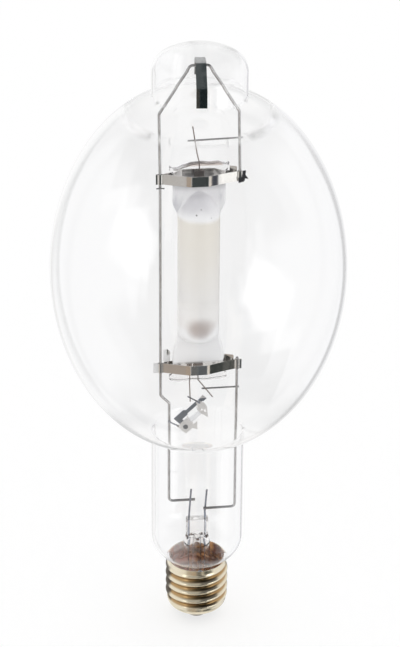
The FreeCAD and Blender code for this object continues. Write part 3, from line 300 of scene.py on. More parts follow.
print("stage 3: finishes")
glassSettings = {
    "ior": 1.48,
    "rippleScale": 14,
    "bulbTint": (0.985, 0.985, 0.986, 1),
    "bulbRipple": 0.0004,
    "foldFoot": 0.349,
    "foldTop": 0.3612,
    "foldSoft": 0.0025,
    "foldTone": 0.98,
    "stemTint": (0.97, 0.96, 0.955, 1),
    "stemRipple": 0.0002,
    "stemRim": (0.0683, 0.0705),
    "stemRimShare": 0.5,
}
metalSettings = {
    "cloudGain": 1.4,
    "cloudDrop": 0.35,
    "grainScale": 6,
    "grainGain": 0.3,
    "grainRough": 0.1,
    "grainDepth": 0.00003,
    "grainStrength": 0.4,
}
wireSettings = {
    "cloudScale": 130,
    "cloudGain": 1.3,
    "cloudDrop": 0.3,
    "streakScale": 900,
    "streakStretch": (1, 1, 0.15),
    "streakGain": 0.3,
    "facing": (0.5, 0.85),
    "sideShadeShare": 0.9,
    "metallic": 0.95,
    "sideShadeMetallic": 0.45,
    "rough": 0.18,
    "streakRough": 0.1,
    "sideShadeRough": 0.1,
}
strapSettings = {
    "dull": (0.62, 0.6, 0.57, 1),
    "bright": (0.78, 0.77, 0.75, 1),
    "rightFold": 0.0145,
    "rightRun": 0.0095,
    "rightBow": -15.1,
    "leftFold": -0.0092,
    "leftRun": 0.0042,
    "leftBow": -28.0,
    "leftEnd": (-0.001, 0),
    "middleEdge": (0.0049, 0.0051),
    "front": (0, 0.0005),
    "cloudScale": 120,
    "streakScale": 500,
    "streakStretch": (1, 1, 8),
    "streakDepth": 0.000004,
    "tabFoot": 0.1849,
    "tabTop": 0.2,
    "tabSoft": 0.0002,
    "tabSide": (-0.0155, -0.0145),
    "cornerSide": (-0.0195, -0.0185),
    "cornerFoot": (0.1885, 0.1905),
    "endSide": (-0.0246, -0.0243),
    "endTop": (0.1849, 0.1851),
    "upperStrap": (0.2, 0.21),
    "rough": 0.05,
    "streakRough": 0.05,
    "paintedReflection": 0.85,
    "paintedReflectionMetallic": 0.85,
    "paintedReflectionRough": 0.25,
}
plateSettings = {
    "dull": (0.66, 0.63, 0.61, 1),
    "bright": (0.86, 0.85, 0.83, 1),
    "cloudScale": 300,
    "grainScale": 2500,
    "metallic": 0.35,
    "rough": 0.36,
    "grainRough": 0.12,
    "grainDepth": 0.00003,
    "grainStrength": 0.5,
}
springSettings = {
    "dark": (0.015, 0.026, 0.028, 1),
    "light": (0.035, 0.048, 0.05, 1),
    "bendTone": (0.5, 0.5, 0.5, 1),
    "bend": (-0.001, 0.003),
    "cloudScale": 220,
    "grainScale": 2600,
    "grainStretch": (1, 1, 0.2),
    "metallic": 0.9,
    "rough": 0.2,
    "grainRough": 0.15,
    "grainDepth": 0.00003,
    "grainStrength": 0.5,
}
bimetalSettings = {
    "dark": (0.2, 0.23, 0.28, 1),
    "light": (0.4, 0.46, 0.55, 1),
    "streakTone": (0.16, 0.17, 0.2, 1),
    "streakShare": 0.4,
    "streaks": (0.35, 0.7),
    "tipTone": (0.86, 0.85, 0.85, 1),
    "tipFoot": (0.1583, 0.1588),
    "tipMetallic": 0.3,
    "cloudScale": 180,
    "grainScale": 1500,
    "grainStretch": (1, 0.1, 1),
    "rough": 0.3,
    "grainRough": 0.12,
    "grainDepth": 0.00003,
    "grainStrength": 0.5,
}


def glassShade(net, tint, ripple, path, clearShare):
    # rays that gather light pass straight through and keep their kind
    through = lightRay(path).math("MAXIMUM", clearShare)
    wave = net.noise(net.position(), glassSettings["rippleScale"], 1.0)
    body = net.principled(
        Base_Color=tint,
        Roughness=0.0,
        IOR=glassSettings["ior"],
        Transmission_Weight=1.0,
        Normal=net.bump(wave, ripple),
    )
    return net.blend(through, body, net.clear(grey(1)))


def bulbShade(net):
    # what the metal inside mirrors is seen as if there were no bulb
    s = glassSettings
    path = net.node("ShaderNodeLightPath")
    glass = glassShade(net, s["bulbTint"], s["bulbRipple"], path, path.out("Is Reflection Ray"))
    # the fold under the dome is seen straight through, a shade darker
    _, _, z = net.axes(net.position())
    fold = z.band(s["foldFoot"], s["foldTop"], s["foldSoft"])
    return net.blend(fold, glass, net.clear(grey(s["foldTone"])))


def stemShade(net):
    # the rim of the pressed top lets a share of every ray straight through
    s = glassSettings
    _, _, z = net.axes(net.position())
    rim = z.step(*s["stemRim"]) * s["stemRimShare"]
    return glassShade(net, s["stemTint"], s["stemRipple"], net.node("ShaderNodeLightPath"), rim)


def metalShade(net, colour, dark, rough, scale):
    # cloudy tone and fine grain
    s = metalSettings
    place = net.position()
    cloud = net.noise(place, scale)
    grain = net.noise(place, scale * s["grainScale"], 2.0)
    tone = (cloud * s["cloudGain"] - s["cloudDrop"] + grain * s["grainGain"]).clamp()
    return net.principled(
        Base_Color=net.mix(tone, dark, colour),
        Metallic=1.0,
        Roughness=rough + grain * s["grainRough"],
        Normal=net.bump(grain, s["grainDepth"], s["grainStrength"]),
    )


def metal(colour, dark, rough, scale=250):
    return lambda net: metalShade(net, colour, dark, rough, scale)


def wireShade(net, colour, dark, edge):
    # drawn wire with painted shade: the band along its front and back keeps the lighter tone, and its
    # sides are painted towards the dark edge colour, rougher and less metallic
    s = wireSettings
    place = net.position()
    cloud = net.noise(place, s["cloudScale"])
    streaks = net.noise(net.stretched(place, s["streakStretch"]), s["streakScale"], 2.0)
    _, facing, _ = net.axes(net.node("ShaderNodeNewGeometry").out("Normal"))
    tone = (cloud * s["cloudGain"] - s["cloudDrop"] + streaks * s["streakGain"]).clamp()
    sideShade = 1 - facing.math("ABSOLUTE").step(*s["facing"])
    return net.principled(
        Base_Color=net.mix(sideShade * s["sideShadeShare"], net.mix(tone, dark, colour), edge),
        Metallic=s["metallic"] - sideShade * s["sideShadeMetallic"],
        Roughness=s["rough"] + streaks * s["streakRough"] + sideShade * s["sideShadeRough"],
    )


def wire(colour, dark, edge):
    return lambda net: wireShade(net, colour, dark, edge)


def strapShade(net):
    # bright strip that bows gently between its folds: the bow is in the normals
    s = strapSettings
    place = net.position()
    x, y, z = net.axes(place)
    right = (s["rightFold"] - x).math("MAXIMUM", 0).math("MINIMUM", s["rightRun"])
    left = (x - s["leftFold"]).math("MAXIMUM", 0).math("MINIMUM", s["leftRun"])
    outer = x.math("ABSOLUTE").step(*s["middleEdge"])
    front = (y * -1).step(*s["front"])
    leftBow = left * left * s["leftBow"] * (1 - x.step(*s["leftEnd"]))
    swell = (right * right * s["rightBow"] + leftBow) * outer * front
    cloud = net.noise(place, s["cloudScale"])
    streaks = net.noise(net.stretched(place, s["streakStretch"]), s["streakScale"], 2.0)

    # painted reflection: the lower strap's left tab, but for its upper right corner, and its left end
    # are painted pale, rougher and less metallic, as if mirroring bright light
    corner = x.step(*s["cornerSide"]) * z.step(*s["cornerFoot"])
    tab = z.band(s["tabFoot"], s["tabTop"], s["tabSoft"]) * (1 - corner)
    end = (1 - x.step(*s["endSide"])) * (1 - z.step(*s["endTop"]))
    paintedReflection = (tab * (1 - x.step(*s["tabSide"])) + end).clamp() * (1 - z.step(*s["upperStrap"]))
    return net.principled(
        Base_Color=net.mix(paintedReflection, net.mix(cloud, s["dull"], s["bright"]), grey(s["paintedReflection"])),
        Metallic=1.0 - paintedReflection * s["paintedReflectionMetallic"],
        Roughness=s["rough"] + streaks * s["streakRough"] + paintedReflection * s["paintedReflectionRough"],
        Normal=net.bump(swell + streaks * s["streakDepth"], 1.0),
    )


def plateShade(net):
    # satin stamped sheet
    s = plateSettings
    place = net.position()
    cloud = net.noise(place, s["cloudScale"])
    grain = net.noise(place, s["grainScale"], 2.0)
    return net.principled(
        Base_Color=net.mix(cloud, s["dull"], s["bright"]),
        Metallic=s["metallic"],
        Roughness=s["rough"] + grain * s["grainRough"],
        Normal=net.bump(grain, s["grainDepth"], s["grainStrength"]),
    )


def springShade(net):
    # dark rolled leaf, with pale grain where it bends back at the top
    s = springSettings
    place = net.position()
    _, y, _ = net.axes(place)
    cloud = net.noise(place, s["cloudScale"])
    grain = net.noise(net.stretched(place, s["grainStretch"]), s["grainScale"], 2.0)
    tone = net.mix(cloud, s["dark"], s["light"])
    return net.principled(
        Base_Color=net.mix(y.step(*s["bend"]) * grain, tone, s["bendTone"]),
        Metallic=s["metallic"],
        Roughness=s["rough"] + grain * s["grainRough"],
        Normal=net.bump(grain, s["grainDepth"], s["grainStrength"]),
    )


def bimetalShade(net):
    # grey-blue rolled strip, pale and less metallic above a given height at its upper end
    s = bimetalSettings
    place = net.position()
    _, _, z = net.axes(place)
    cloud = net.noise(place, s["cloudScale"])
    grain = net.noise(net.stretched(place, s["grainStretch"]), s["grainScale"], 2.0)
    tip = z.step(*s["tipFoot"])
    tone = net.mix(cloud, s["dark"], s["light"])
    tone = net.mix(grain.step(*s["streaks"]) * s["streakShare"], tone, s["streakTone"])
    return net.principled(
        Base_Color=net.mix(tip, tone, s["tipTone"]),
        Metallic=1.0 - tip * s["tipMetallic"],
        Roughness=s["rough"] + grain * s["grainRough"],
        Normal=net.bump(grain, s["grainDepth"], s["grainStrength"]),
    )


def saltShade(net):
    colour = net.mix(net.noise(net.position(), 500), (0.16, 0.08, 0.06, 1), (0.42, 0.28, 0.24, 1))
    return net.principled(Base_Color=colour, Roughness=0.6)


def ceramicShade(net):
    colour = net.mix(net.noise(net.position(), 200), (0.78, 0.78, 0.8, 1), (0.9, 0.9, 0.91, 1))
    return net.principled(Base_Color=colour, Roughness=0.3)


def blackGlass(net):
    colour = net.mix(net.noise(net.position(), 200), (0.012, 0.012, 0.014, 1), (0.03, 0.03, 0.03, 1))
    return net.principled(Base_Color=colour, Roughness=0.12)


finishes = {
    "stemGlass": (stemShade, ["stem_glass", "exhaust_tube"]),
    "blackGlass": (blackGlass, ["base_insulator"]),
    "tinnedContact": (metal((0.66, 0.64, 0.6, 1), (0.5, 0.47, 0.42, 1), 0.3), ["centre_contact"]),
    "solder": (metal((0.6, 0.6, 0.6, 1), (0.3, 0.3, 0.3, 1), 0.35), ["contact_solder", "rim_solder"]),
    # the third colour of a wire finish is the painted shade of its sides
    "nickelWire": (
        wire((0.6, 0.65, 0.76, 1), (0.26, 0.28, 0.33, 1), (0.02, 0.025, 0.04, 1)),
        [
            "lead_wire_left",
            "lead_wire_right",
            "lead_tail_left",
            "lead_tail_right",
            "switch_lead_left",
            "switch_lead_right",
        ],
    ),
    "frameSteel": (
        wire((0.93, 0.93, 0.93, 1), (0.36, 0.35, 0.35, 1), (0.012, 0.012, 0.012, 1)),
        ["frame_wire", "support_rod", "upper_cross_wire", "lower_cross_wire", "stop_wire"],
    ),
    "springSteel": (springShade, ["dome_spring"]),
    "strapSteel": (
        strapShade,
        ["upper_strap_front", "upper_strap_back", "lower_strap_front", "lower_strap_back"],
    ),
    "clipSteel": (metal((0.3, 0.3, 0.33, 1), (0.08, 0.08, 0.1, 1), 0.2), ["leg_clip"]),
    "tungsten": (
        metal((0.2, 0.2, 0.21, 1), (0.08, 0.08, 0.08, 1), 0.4),
        ["upper_electrode", "lower_electrode", "starter_electrode"],
    ),
    "molybdenum": (
        metal((0.42, 0.38, 0.36, 1), (0.25, 0.2, 0.18, 1), 0.3),
        ["upper_foil", "lower_foil", "starter_foil", "upper_lead", "lower_lead", "starter_lead"],
    ),
    "halideSalt": (saltShade, ["halide_pool"]),
    "bimetal": (bimetalShade, ["bimetal_strip", "strip_anchor"]),
    "bracketMetal": (plateShade, ["switch_bracket_lower", "switch_bracket_upper"]),
    "rivetMetal": (metal((0.14, 0.17, 0.2, 1), (0.05, 0.06, 0.07, 1), 0.3), ["contact_rivet"]),
    "ceramic": (ceramicShade, ["switch_spacer"]),
    "bulbFinish": (bulbShade, ["outer_bulb"]),
}
for name, (build, members) in finishes.items():
    material = newMaterial(name, build)
    for member in members:
        mesh = nodes[member].data
        mesh.materials.clear()
        mesh.materials.append(material)


# Pieces

def addPiece(name, mesh, materials, replaced=None):
    for material in materials:
        mesh.materials.append(material)
    piece = bpy.data.objects.new(name, mesh)
    scene.collection.objects.link(piece)
    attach(piece, "lamp")
    if replaced:
        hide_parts(replaced)


def smoothMesh(name, points, faces):
    mesh = bpy.data.meshes.new(name)
    mesh.from_pydata([(x * mm, y * mm, z * mm) for x, y, z in points], [], faces)
    mesh.polygons.foreach_set("use_smooth", [True] * len(mesh.polygons))
    mesh.update()
    return mesh


# Bulb: two walls turned about the axis as one closed skin

print("stage 4: bulb")
bulbSettings = {
    "length": 390.5,
    "radius": 88.8,
    "middle": 248.0,
    "halfLength": 117.0,
    "wall": 1.2,
    "domeRadius": 28.2,
    "domeCap": 15.5,
    "domeKnuckle": 11.0,
    "domeBlend": 4.0,
    "neckRadius": 28.7,
    "neckBlend": 3.5,
    "shoulderTop": 61.0,
    "shoulderFoot": 40.0,
    "shoulderRadius": 17.0,
    "endRadius": 17.3,
    "endHeight": 33.0,
    "around": 160,
    "bodySteps": 80,
    "arcSteps": 12,
}
halvings = 50
tiny = 1e-6


def arcPoints(centre, radius, first, last, steps):
    angles = [math.radians(first + (last - first) * step / steps) for step in range(steps + 1)]
    return [(centre[0] + radius * math.cos(a), centre[1] + radius * math.sin(a)) for a in angles]


def blendTouch(radius, halfLength, side, blend):
    # where a blend arc touches the body's ellipse as well as a tube of radius side
    low, high = 0.0, math.pi / 2
    for _ in range(halvings):
        angle = (low + high) / 2
        slope = Vector((math.cos(angle) / radius, math.sin(angle) / halfLength)).normalized()
        if radius * math.cos(angle) + blend * slope.x > side + blend:
            low = angle
        else:
            high = angle
    height = halfLength * math.sin(angle) + blend * slope.y
    return math.degrees(angle), height, math.degrees(math.atan2(slope.y, slope.x))


def bulbLine(s, inset):
    radius = s["radius"] - inset
    halfLength = s["halfLength"] - inset
    neck = s["neckRadius"] - inset
    dome = s["domeRadius"] - inset
    end = s["endRadius"] - inset
    top = s["length"] - inset
    upper = s["shoulderRadius"]
    steps = s["arcSteps"]
    fall = s["shoulderTop"] - s["shoulderFoot"]
    turn = 2 * math.atan2(neck - end, fall)
    lower = fall / math.sin(turn) - upper
    sweep = math.degrees(turn)
    neckBlend = s["neckBlend"] + inset
    domeBlend = s["domeBlend"] + inset
    lowAngle, lowHeight, lowLean = blendTouch(radius, halfLength, neck, neckBlend)
    highAngle, highHeight, highLean = blendTouch(radius, halfLength, dome, domeBlend)
    knuckle = s["domeKnuckle"] - inset
    knuckleHeight = s["length"] - s["domeCap"]
    reach = dome - knuckle
    rise = top - knuckleHeight
    crown = (reach**2 + rise**2 - knuckle**2) / (2 * (rise - knuckle))
    lean = math.degrees(math.atan2(knuckleHeight - (top - crown), reach))
    body = arcPoints((0, 0), 1, -lowAngle, highAngle, s["bodySteps"])
    neckCentre = (neck + neckBlend, s["middle"] - lowHeight)
    domeCentre = (dome + domeBlend, s["middle"] + highHeight)

    line = [(end, s["endHeight"])]
    line += arcPoints((end + lower, s["shoulderFoot"]), lower, 180, 180 - sweep, steps)
    line += arcPoints((neck - upper, s["shoulderTop"]), upper, -sweep, 0, steps)[1:]
    line += arcPoints(neckCentre, neckBlend, 180, 180 - lowLean, steps)
    line += [(radius * x, s["middle"] + halfLength * z) for x, z in body[1:]]
    line += arcPoints(domeCentre, domeBlend, 180 + highLean, 180, steps)[1:]
    line += arcPoints((reach, knuckleHeight), knuckle, 0, lean, steps)
    line += arcPoints((0, top - crown), crown, lean, 90, steps)[1:]
    return line


def turnedMesh(name, walls, around):
    # the first wall runs up to the axis and the next one runs back down from it
    points, rings, faces = [], [], []
    for wall in walls:
        rings.append([])
        for radius, height in wall:
            start = len(points)
            count = around if radius > tiny else 1
            for step in range(count):
                angle = 2 * math.pi * step / around
                points.append((radius * math.cos(angle), radius * math.sin(angle), height))
            rings[-1].append([start + step % count for step in range(around)])
    joined = [(wall[i], wall[i + 1]) for wall in rings for i in range(len(wall) - 1)]
    joined.append((rings[-1][-1], rings[0][0]))
    for low, high in joined:
        for step in range(around):
            ahead = (step + 1) % around
            corners = [low[step], low[ahead], high[ahead], high[step]]
            faces.append(list(dict.fromkeys(corners)))
    return smoothMesh(name, points, faces)


bulbWalls = [bulbLine(bulbSettings, 0), bulbLine(bulbSettings, bulbSettings["wall"])[::-1]]
bulbMesh = turnedMesh("bulb_glass", bulbWalls, bulbSettings["around"])
addPiece("bulb_glass", bulbMesh, [newMaterial("bulbGlass", bulbShade)], "outer_bulb")


# Arc tube: a hollow chamber pinched flat at both ends

print("stage 5: arc tube")
tubeSettings = {
    "foot": 172.7,
    "top": 317.0,
    "topLine": (
        (-17.75, -1.0),
        (-15.6, -2.6),
        (-13.0, -2.5),
        (-9.0, -0.9),
        (-4.0, 0.5),
        (1.0, 0.8),
        (6.0, 0.3),
        (11.0, 0.5),
        (14.5, -0.4),
        (16.2, -1.0),
        (17.75, 0.2),
    ),
    "footLine": ((-17.75, 0.6), (-12.0, -0.3), (-3.0, 0.1), (5.0, -0.4), (13.0, 0.2), (17.75, 0.9)),
    "flareHalf": 17.75,
    "flareLength": 2.4,
    "flareRun": 3.0,
    "pinchHalf": 15.7,
    "pinchDepth": 2.0,
    "pinchEdge": 1.4,
    "lowShoulder": 190.0,
    "lowRoot": 206.0,
    "highRoot": 283.0,
    "highShoulder": 292.0,
    "radius": 12.65,
    "wall": 1.6,
    "straightFoot": 207.5,
    "straightTop": 282.0,
    "footDome": 8.5,
    "topDome": 16.5,
    "soft": 0.9,
    "faceRun": 6.0,
    "meltRun": 7.0,
    "around": 96,
    "rings": 190,
    "chamberRings": 60,
}


def smoothStep(value, low, high):
    # the same curve as Link.step, for plain numbers
    share = min(1.0, max(0.0, (value - low) / (high - low)))
    return share * share * (3 - 2 * share)


def softMax(first, second, soft):
    # the larger of two depths, rounded where they are nearly equal
    gap = max(0.0, soft - abs(first - second)) / soft
    return max(first, second) + gap * gap * soft / 4


def chamberDepth(s, x, z, wall):
    # half depth of the chamber at a place across and up the tube
    radius = s["radius"] - wall
    if z < s["straightFoot"]:
        lift = (s["straightFoot"] - z) / (s["footDome"] - wall)
    elif z > s["straightTop"]:
        lift = (z - s["straightTop"]) / (s["topDome"] - wall)
    else:
        lift = 0.0
    return math.sqrt(max(0.0, radius * radius * (1 - lift * lift) - x * x))


def meltLine(line, x):
    # height of a melted end's wavy edge at a place across it
    for (left, low), (right, high) in zip(line, line[1:]):
        if x <= right:
            return low + (high - low) * smoothStep(x, left, right)
    return line[-1][1]


def tubeHalf(s, z):
    # half width: a flare at each end, the flat pinch, then the round body
    foot, top = s["foot"], s["top"]
    end = min(z - foot, top - z)
    flare = 1 - smoothStep(end, s["flareLength"], s["flareLength"] + s["flareRun"])
    half = s["pinchHalf"] + (s["flareHalf"] - s["pinchHalf"]) * flare
    low = smoothStep(z, s["lowShoulder"] - 1, s["lowRoot"])
    high = 1 - smoothStep(z, s["highRoot"], s["highShoulder"] + 1)
    return half + (s["radius"] - half) * min(low, high)


def tubeRing(s, z):
    half = tubeHalf(s, z)
    lowFace = smoothStep(z, s["lowRoot"] - s["faceRun"], s["lowRoot"])
    highFace = 1 - smoothStep(z, s["highRoot"], s["highRoot"] + s["faceRun"])
    flat = 1 - lowFace * highFace
    foot = 1 - smoothStep(z, s["foot"], s["foot"] + s["meltRun"])
    top = smoothStep(z, s["top"] - s["meltRun"], s["top"])
    ring = []
    for step in range(s["around"]):
        angle = 2 * math.pi * step / s["around"]
        x = half * math.cos(angle)
        edge = max(0.0, abs(x) - half + s["pinchEdge"]) / s["pinchEdge"]
        plate = s["pinchDepth"] * flat * math.sqrt(max(0.0, 1 - edge * edge))
        bulge = chamberDepth(s, x, z, 0)
        soft = s["soft"] * (1 - edge) if edge < 1 else 0.0
        depth = softMax(plate, bulge, soft) if soft > 0.01 else max(plate, bulge)
        shift = top * meltLine(s["topLine"], x) + foot * meltLine(s["footLine"], x)
        side = 1 if step < s["around"] / 2 else -1
        ring.append((x, side * depth if step % (s["around"] // 2) else 0.0, z + shift))
    return ring


def endCap(first, count, up):
    # strips across a flat end, from its front edge to its back edge
    faces = []
    for step in range(count // 2):
        near, far = first + step, first + step + 1
        mirrorNear, mirrorFar = first + (count - step) % count, first + count - step - 1
        corners = list(dict.fromkeys([near, far, mirrorFar, mirrorNear]))
        faces.append(corners if up else corners[::-1])
    return faces


def tubeMesh(s):
    count = s["around"]
    rise = s["top"] - s["foot"]
    heights = [s["foot"] + rise * step / s["rings"] for step in range(s["rings"] + 1)]
    points, faces = [], []
    for z in heights:
        points += tubeRing(s, z)
    for ring in range(s["rings"]):
        for step in range(count):
            a, b = ring * count + step, ring * count + (step + 1) % count
            faces.append([a, b, b + count, a + count])
    faces += endCap(0, count, False) + endCap(s["rings"] * count, count, True)

    # the chamber's own skin, facing inwards
    wall = s["wall"]
    low = s["straightFoot"] - s["footDome"] + wall
    high = s["straightTop"] + s["topDome"] - wall
    steps = s["chamberRings"]
    start = len(points)
    for step in range(1, steps):
        z = (low + high) / 2 - (high - low) / 2 * math.cos(math.pi * step / steps)
        radius = chamberDepth(s, 0, z, wall)
        for turn in range(count):
            angle = 2 * math.pi * turn / count
            points.append((radius * math.cos(angle), radius * math.sin(angle), z))
    poles = (len(points), len(points) + 1)
    points += [(0, 0, low), (0, 0, high)]
    last = start + (steps - 2) * count
    for turn in range(count):
        ahead = (turn + 1) % count
        for ring in range(steps - 2):
            base = start + ring * count
            faces.append([base + turn, base + turn + count, base + ahead + count, base + ahead])
        faces.append([poles[0], start + turn, start + ahead])
        faces.append([poles[1], last + ahead, last + turn])
    return smoothMesh("arc_tube_quartz", points, faces)


# the tube's skin, from its foot up: clear, white coat, milky body, white coat, clear
quartzSettings = {
    "clearTop": (0.3035, 0.3065),
    "clearFoot": (0.1835, 0.1865),
    "coatTop": (0.284, 0.288),
    "coatFoot": (0.2115, 0.2165),
    "coatWave": 0.004,
    "coatShade": (0.283, 0.297),
    "coatEndShade": (0.2995, 0.3035),
    "bodyRise": (0.215, 0.28),
    "bodyAlpha": 0.8,
    "bodyFoot": (0.222, 0.232),
    "saltHeight": 0.2135,
    "saltAcross": 0.0095,
    "saltUp": 0.0075,
    "saltFade": (-0.3, 1.4),
    "saltBack": (-0.006, 0.0),
    "burntSide": (0.0125, 0.015),
    "burntFoot": (0.3159, 0.3166),
    "patchFoot": 0.302,
    "patchTop": 0.3135,
    "patchSoft": 0.001,
    "patchMiddle": 0.304,
    "patchTaper": 0.35,
    "patchSide": (0.009, 0.0115),
    "archFoot": 0.282,
    "archAcross": 0.0136,
    "archUp": 0.0185,
    "archPower": 1.5,
    "archInside": (0.05, 0.6),
    "archEdge": (0.93, 1.05),
    "archFade": (0.285, 0.292),
    "rightSide": (-0.001, 0.008),
    "wingFoot": (0.282, 0.288),
    "wingTop": (0.2955, 0.302),
    "specks": ((-0.0027, 0.2888, 0.0006), (0.0001, 0.2918, 0.0004), (0.0062, 0.2863, 0.0003)),
    "ior": 1.46,
    "lightTint": 0.85,
}


def quartzColour(net, s, place, coat):
    x, y, z = net.axes(place)
    side = x.math("ABSOLUTE")
    cloud = net.noise(place, 70, 4.0)
    white = net.mix(cloud, (0.95, 0.95, 0.96, 1), (0.995, 0.995, 0.995, 1))
    # painted shade: the upper coat under the strap is mixed towards a darker tone
    shaded = net.mix(cloud, (0.84, 0.83, 0.86, 1), (0.95, 0.94, 0.96, 1))
    white = net.mix(z.step(*s["coatShade"]), white, shaded)
    milky = net.mix(z.step(*s["bodyRise"]), (0.93, 0.915, 0.9, 1), (0.91, 0.86, 0.77, 1))
    milky = net.mix(cloud * 0.35, milky, (0.96, 0.95, 0.93, 1))
    colour = net.mix(coat, milky, white)

    # the salt seen through the front of the tube's foot
    across = (x / s["saltAcross"]) ** 2
    up = ((z - s["saltHeight"]) / s["saltUp"]) ** 2
    spot = (across + up + cloud * 1.1 - 0.55).math("MAXIMUM", 0)
    spot = (1 - spot.step(*s["saltFade"])) * (1 - y.step(*s["saltBack"]))
    colour = net.mix(spot * 0.8, colour, (0.4, 0.32, 0.29, 1))

    # the arch that ends the chamber at the top: 1 on its line, less inside it
    power = s["archPower"]
    rise = ((z - s["archFoot"]) / s["archUp"]).math("MAXIMUM", 0)
    arch = (side / s["archAcross"]) ** power + rise**power
    rightSide = x.step(*s["rightSide"])
    # painted shadow inside the arch, weaker on its right side
    shadow = arch.step(*s["archInside"]) * (1 - arch.step(*s["archEdge"])) * z.step(*s["archFade"])
    shadow = shadow * (1 - rightSide * 0.8)
    colour = net.mix(shadow * (0.26 + cloud * 0.3), colour, (0.42, 0.41, 0.45, 1))

    # painted light and shade: the creased wings beside the arch are painted lighter, with painted shade
    # in their creases, and the end of the coat under the strap is painted darker
    wingLight = arch.step(1.0, 1.12 + rightSide * 0.7)
    wingLight = wingLight * z.step(*s["wingFoot"]) * (1 - z.step(*s["wingTop"]) * 0.7)
    creaseShade = net.noise(net.stretched(place, (1, 1, 0.25)), 150, 3.0).step(0.45, 0.62)
    colour = net.mix(wingLight * 0.8, colour, net.mix(creaseShade, (0.9, 0.9, 0.91, 1), (0.6, 0.6, 0.64, 1)))
    colour = net.mix(z.step(*s["coatEndShade"]) * 0.4, colour, grey(0.38))
    for speckX, speckZ, radius in s["specks"]:
        apart = ((x - speckX) ** 2 + (z - speckZ) ** 2).math("SQRT")
        colour = net.mix((1 - apart.step(radius * 0.6, radius)) * 0.8, colour, (0.08, 0.07, 0.07, 1))
    return colour


def quartzShade(net):
    s = quartzSettings
    place = net.position()
    x, _, z = net.axes(place)
    side = x.math("ABSOLUTE")
    clear = (z.step(*s["clearTop"]) + (1 - z.step(*s["clearFoot"]))).clamp()
    wavy = z + net.noise(place, 60, 2.0) * s["coatWave"]
    coat = (wavy.step(*s["coatTop"]) + (1 - wavy.step(*s["coatFoot"]))).clamp()
    frosted = net.principled(
        Base_Color=quartzColour(net, s, place, coat),
        Roughness=0.4,
        Alpha=s["bodyAlpha"] + (coat + 1 - z.step(*s["bodyFoot"])).clamp() * (1 - s["bodyAlpha"]),
        Coat_Weight=0.4,
        Coat_Roughness=0.12,
    )

    # the clear top is darker grey in a tapering patch inside the strap, and burnt brown along its
    # melted edge
    taper = side + (z - s["patchMiddle"]) * s["patchTaper"]
    greyPatch = (1 - taper.step(*s["patchSide"])) * z.band(s["patchFoot"], s["patchTop"], s["patchSoft"])
    burnt = (1 - side.step(*s["burntSide"])) * z.step(*s["burntFoot"]) * 0.7
    patchTint = net.mix(greyPatch * 0.7, (0.97, 0.96, 0.96, 1), grey(0.3))
    glass = net.principled(
        Base_Color=net.mix(burnt, patchTint, (0.3, 0.16, 0.1, 1)),
        Roughness=0.02,
        IOR=s["ior"],
        Transmission_Weight=1.0,
    )
    body = net.blend(clear, frosted, glass)
    return net.blend(lightRay(net.node("ShaderNodeLightPath")), body, net.clear(grey(s["lightTint"])))


quartz = newMaterial("quartz", quartzShade)
addPiece("arc_tube_quartz", tubeMesh(tubeSettings), [quartz], "arc_tube")


# Screw shell: a sheet whose round section moves off centre, by Geometry Nodes

print("stage 6: screw shell")
shellSettings = {
    "Radius": 18.85 * mm,
    "Shift": 0.9 * mm,
    "Pitch": 6.35 * mm,
    "Crest Height": 8.75 * mm,
    "Thread Foot": 12.8 * mm,
    "Thread Top": 40.2 * mm,
    "Fade": 3.4 * mm,
    "Rim": 42.8 * mm,
    "Shoulder Radius": 5.5 * mm,
    "Shoulder Angle": math.radians(62),
    "Hole Radius": 12.6 * mm,
    "Around": 144,
    "Along": 150,
}
shellWall = 0.4 * mm
shellSeam = 0.00001


def startTree(name, s):
    # a node group with a named input for the mesh, for each setting and for the finish
    tree = bpy.data.node_groups.new(name, "GeometryNodeTree")
    tree.interface.new_socket("Geometry", in_out="INPUT", socket_type="NodeSocketGeometry")
    for key, value in s.items():
        kind = "NodeSocketInt" if isinstance(value, int) else "NodeSocketFloat"
        tree.interface.new_socket(key, in_out="INPUT", socket_type=kind)
    tree.interface.new_socket("Finish", in_out="INPUT", socket_type="NodeSocketMaterial")
    tree.interface.new_socket("Geometry", in_out="OUTPUT", socket_type="NodeSocketGeometry")
    net = Net(tree)
    return net, net.node("NodeGroupInput")


def endTree(net, given, geometry):
    real = net.node("GeometryNodeRealizeInstances", None, {"Geometry": geometry})
    inputs = {"Geometry": real, "Material": given.out("Finish")}
    net.node("NodeGroupOutput", None, {"Geometry": net.node("GeometryNodeSetMaterial", None, inputs)})
    return net.tree


def smoothTree(value):
    share = value.clamp()
    return share * share * (3 - share * 2)


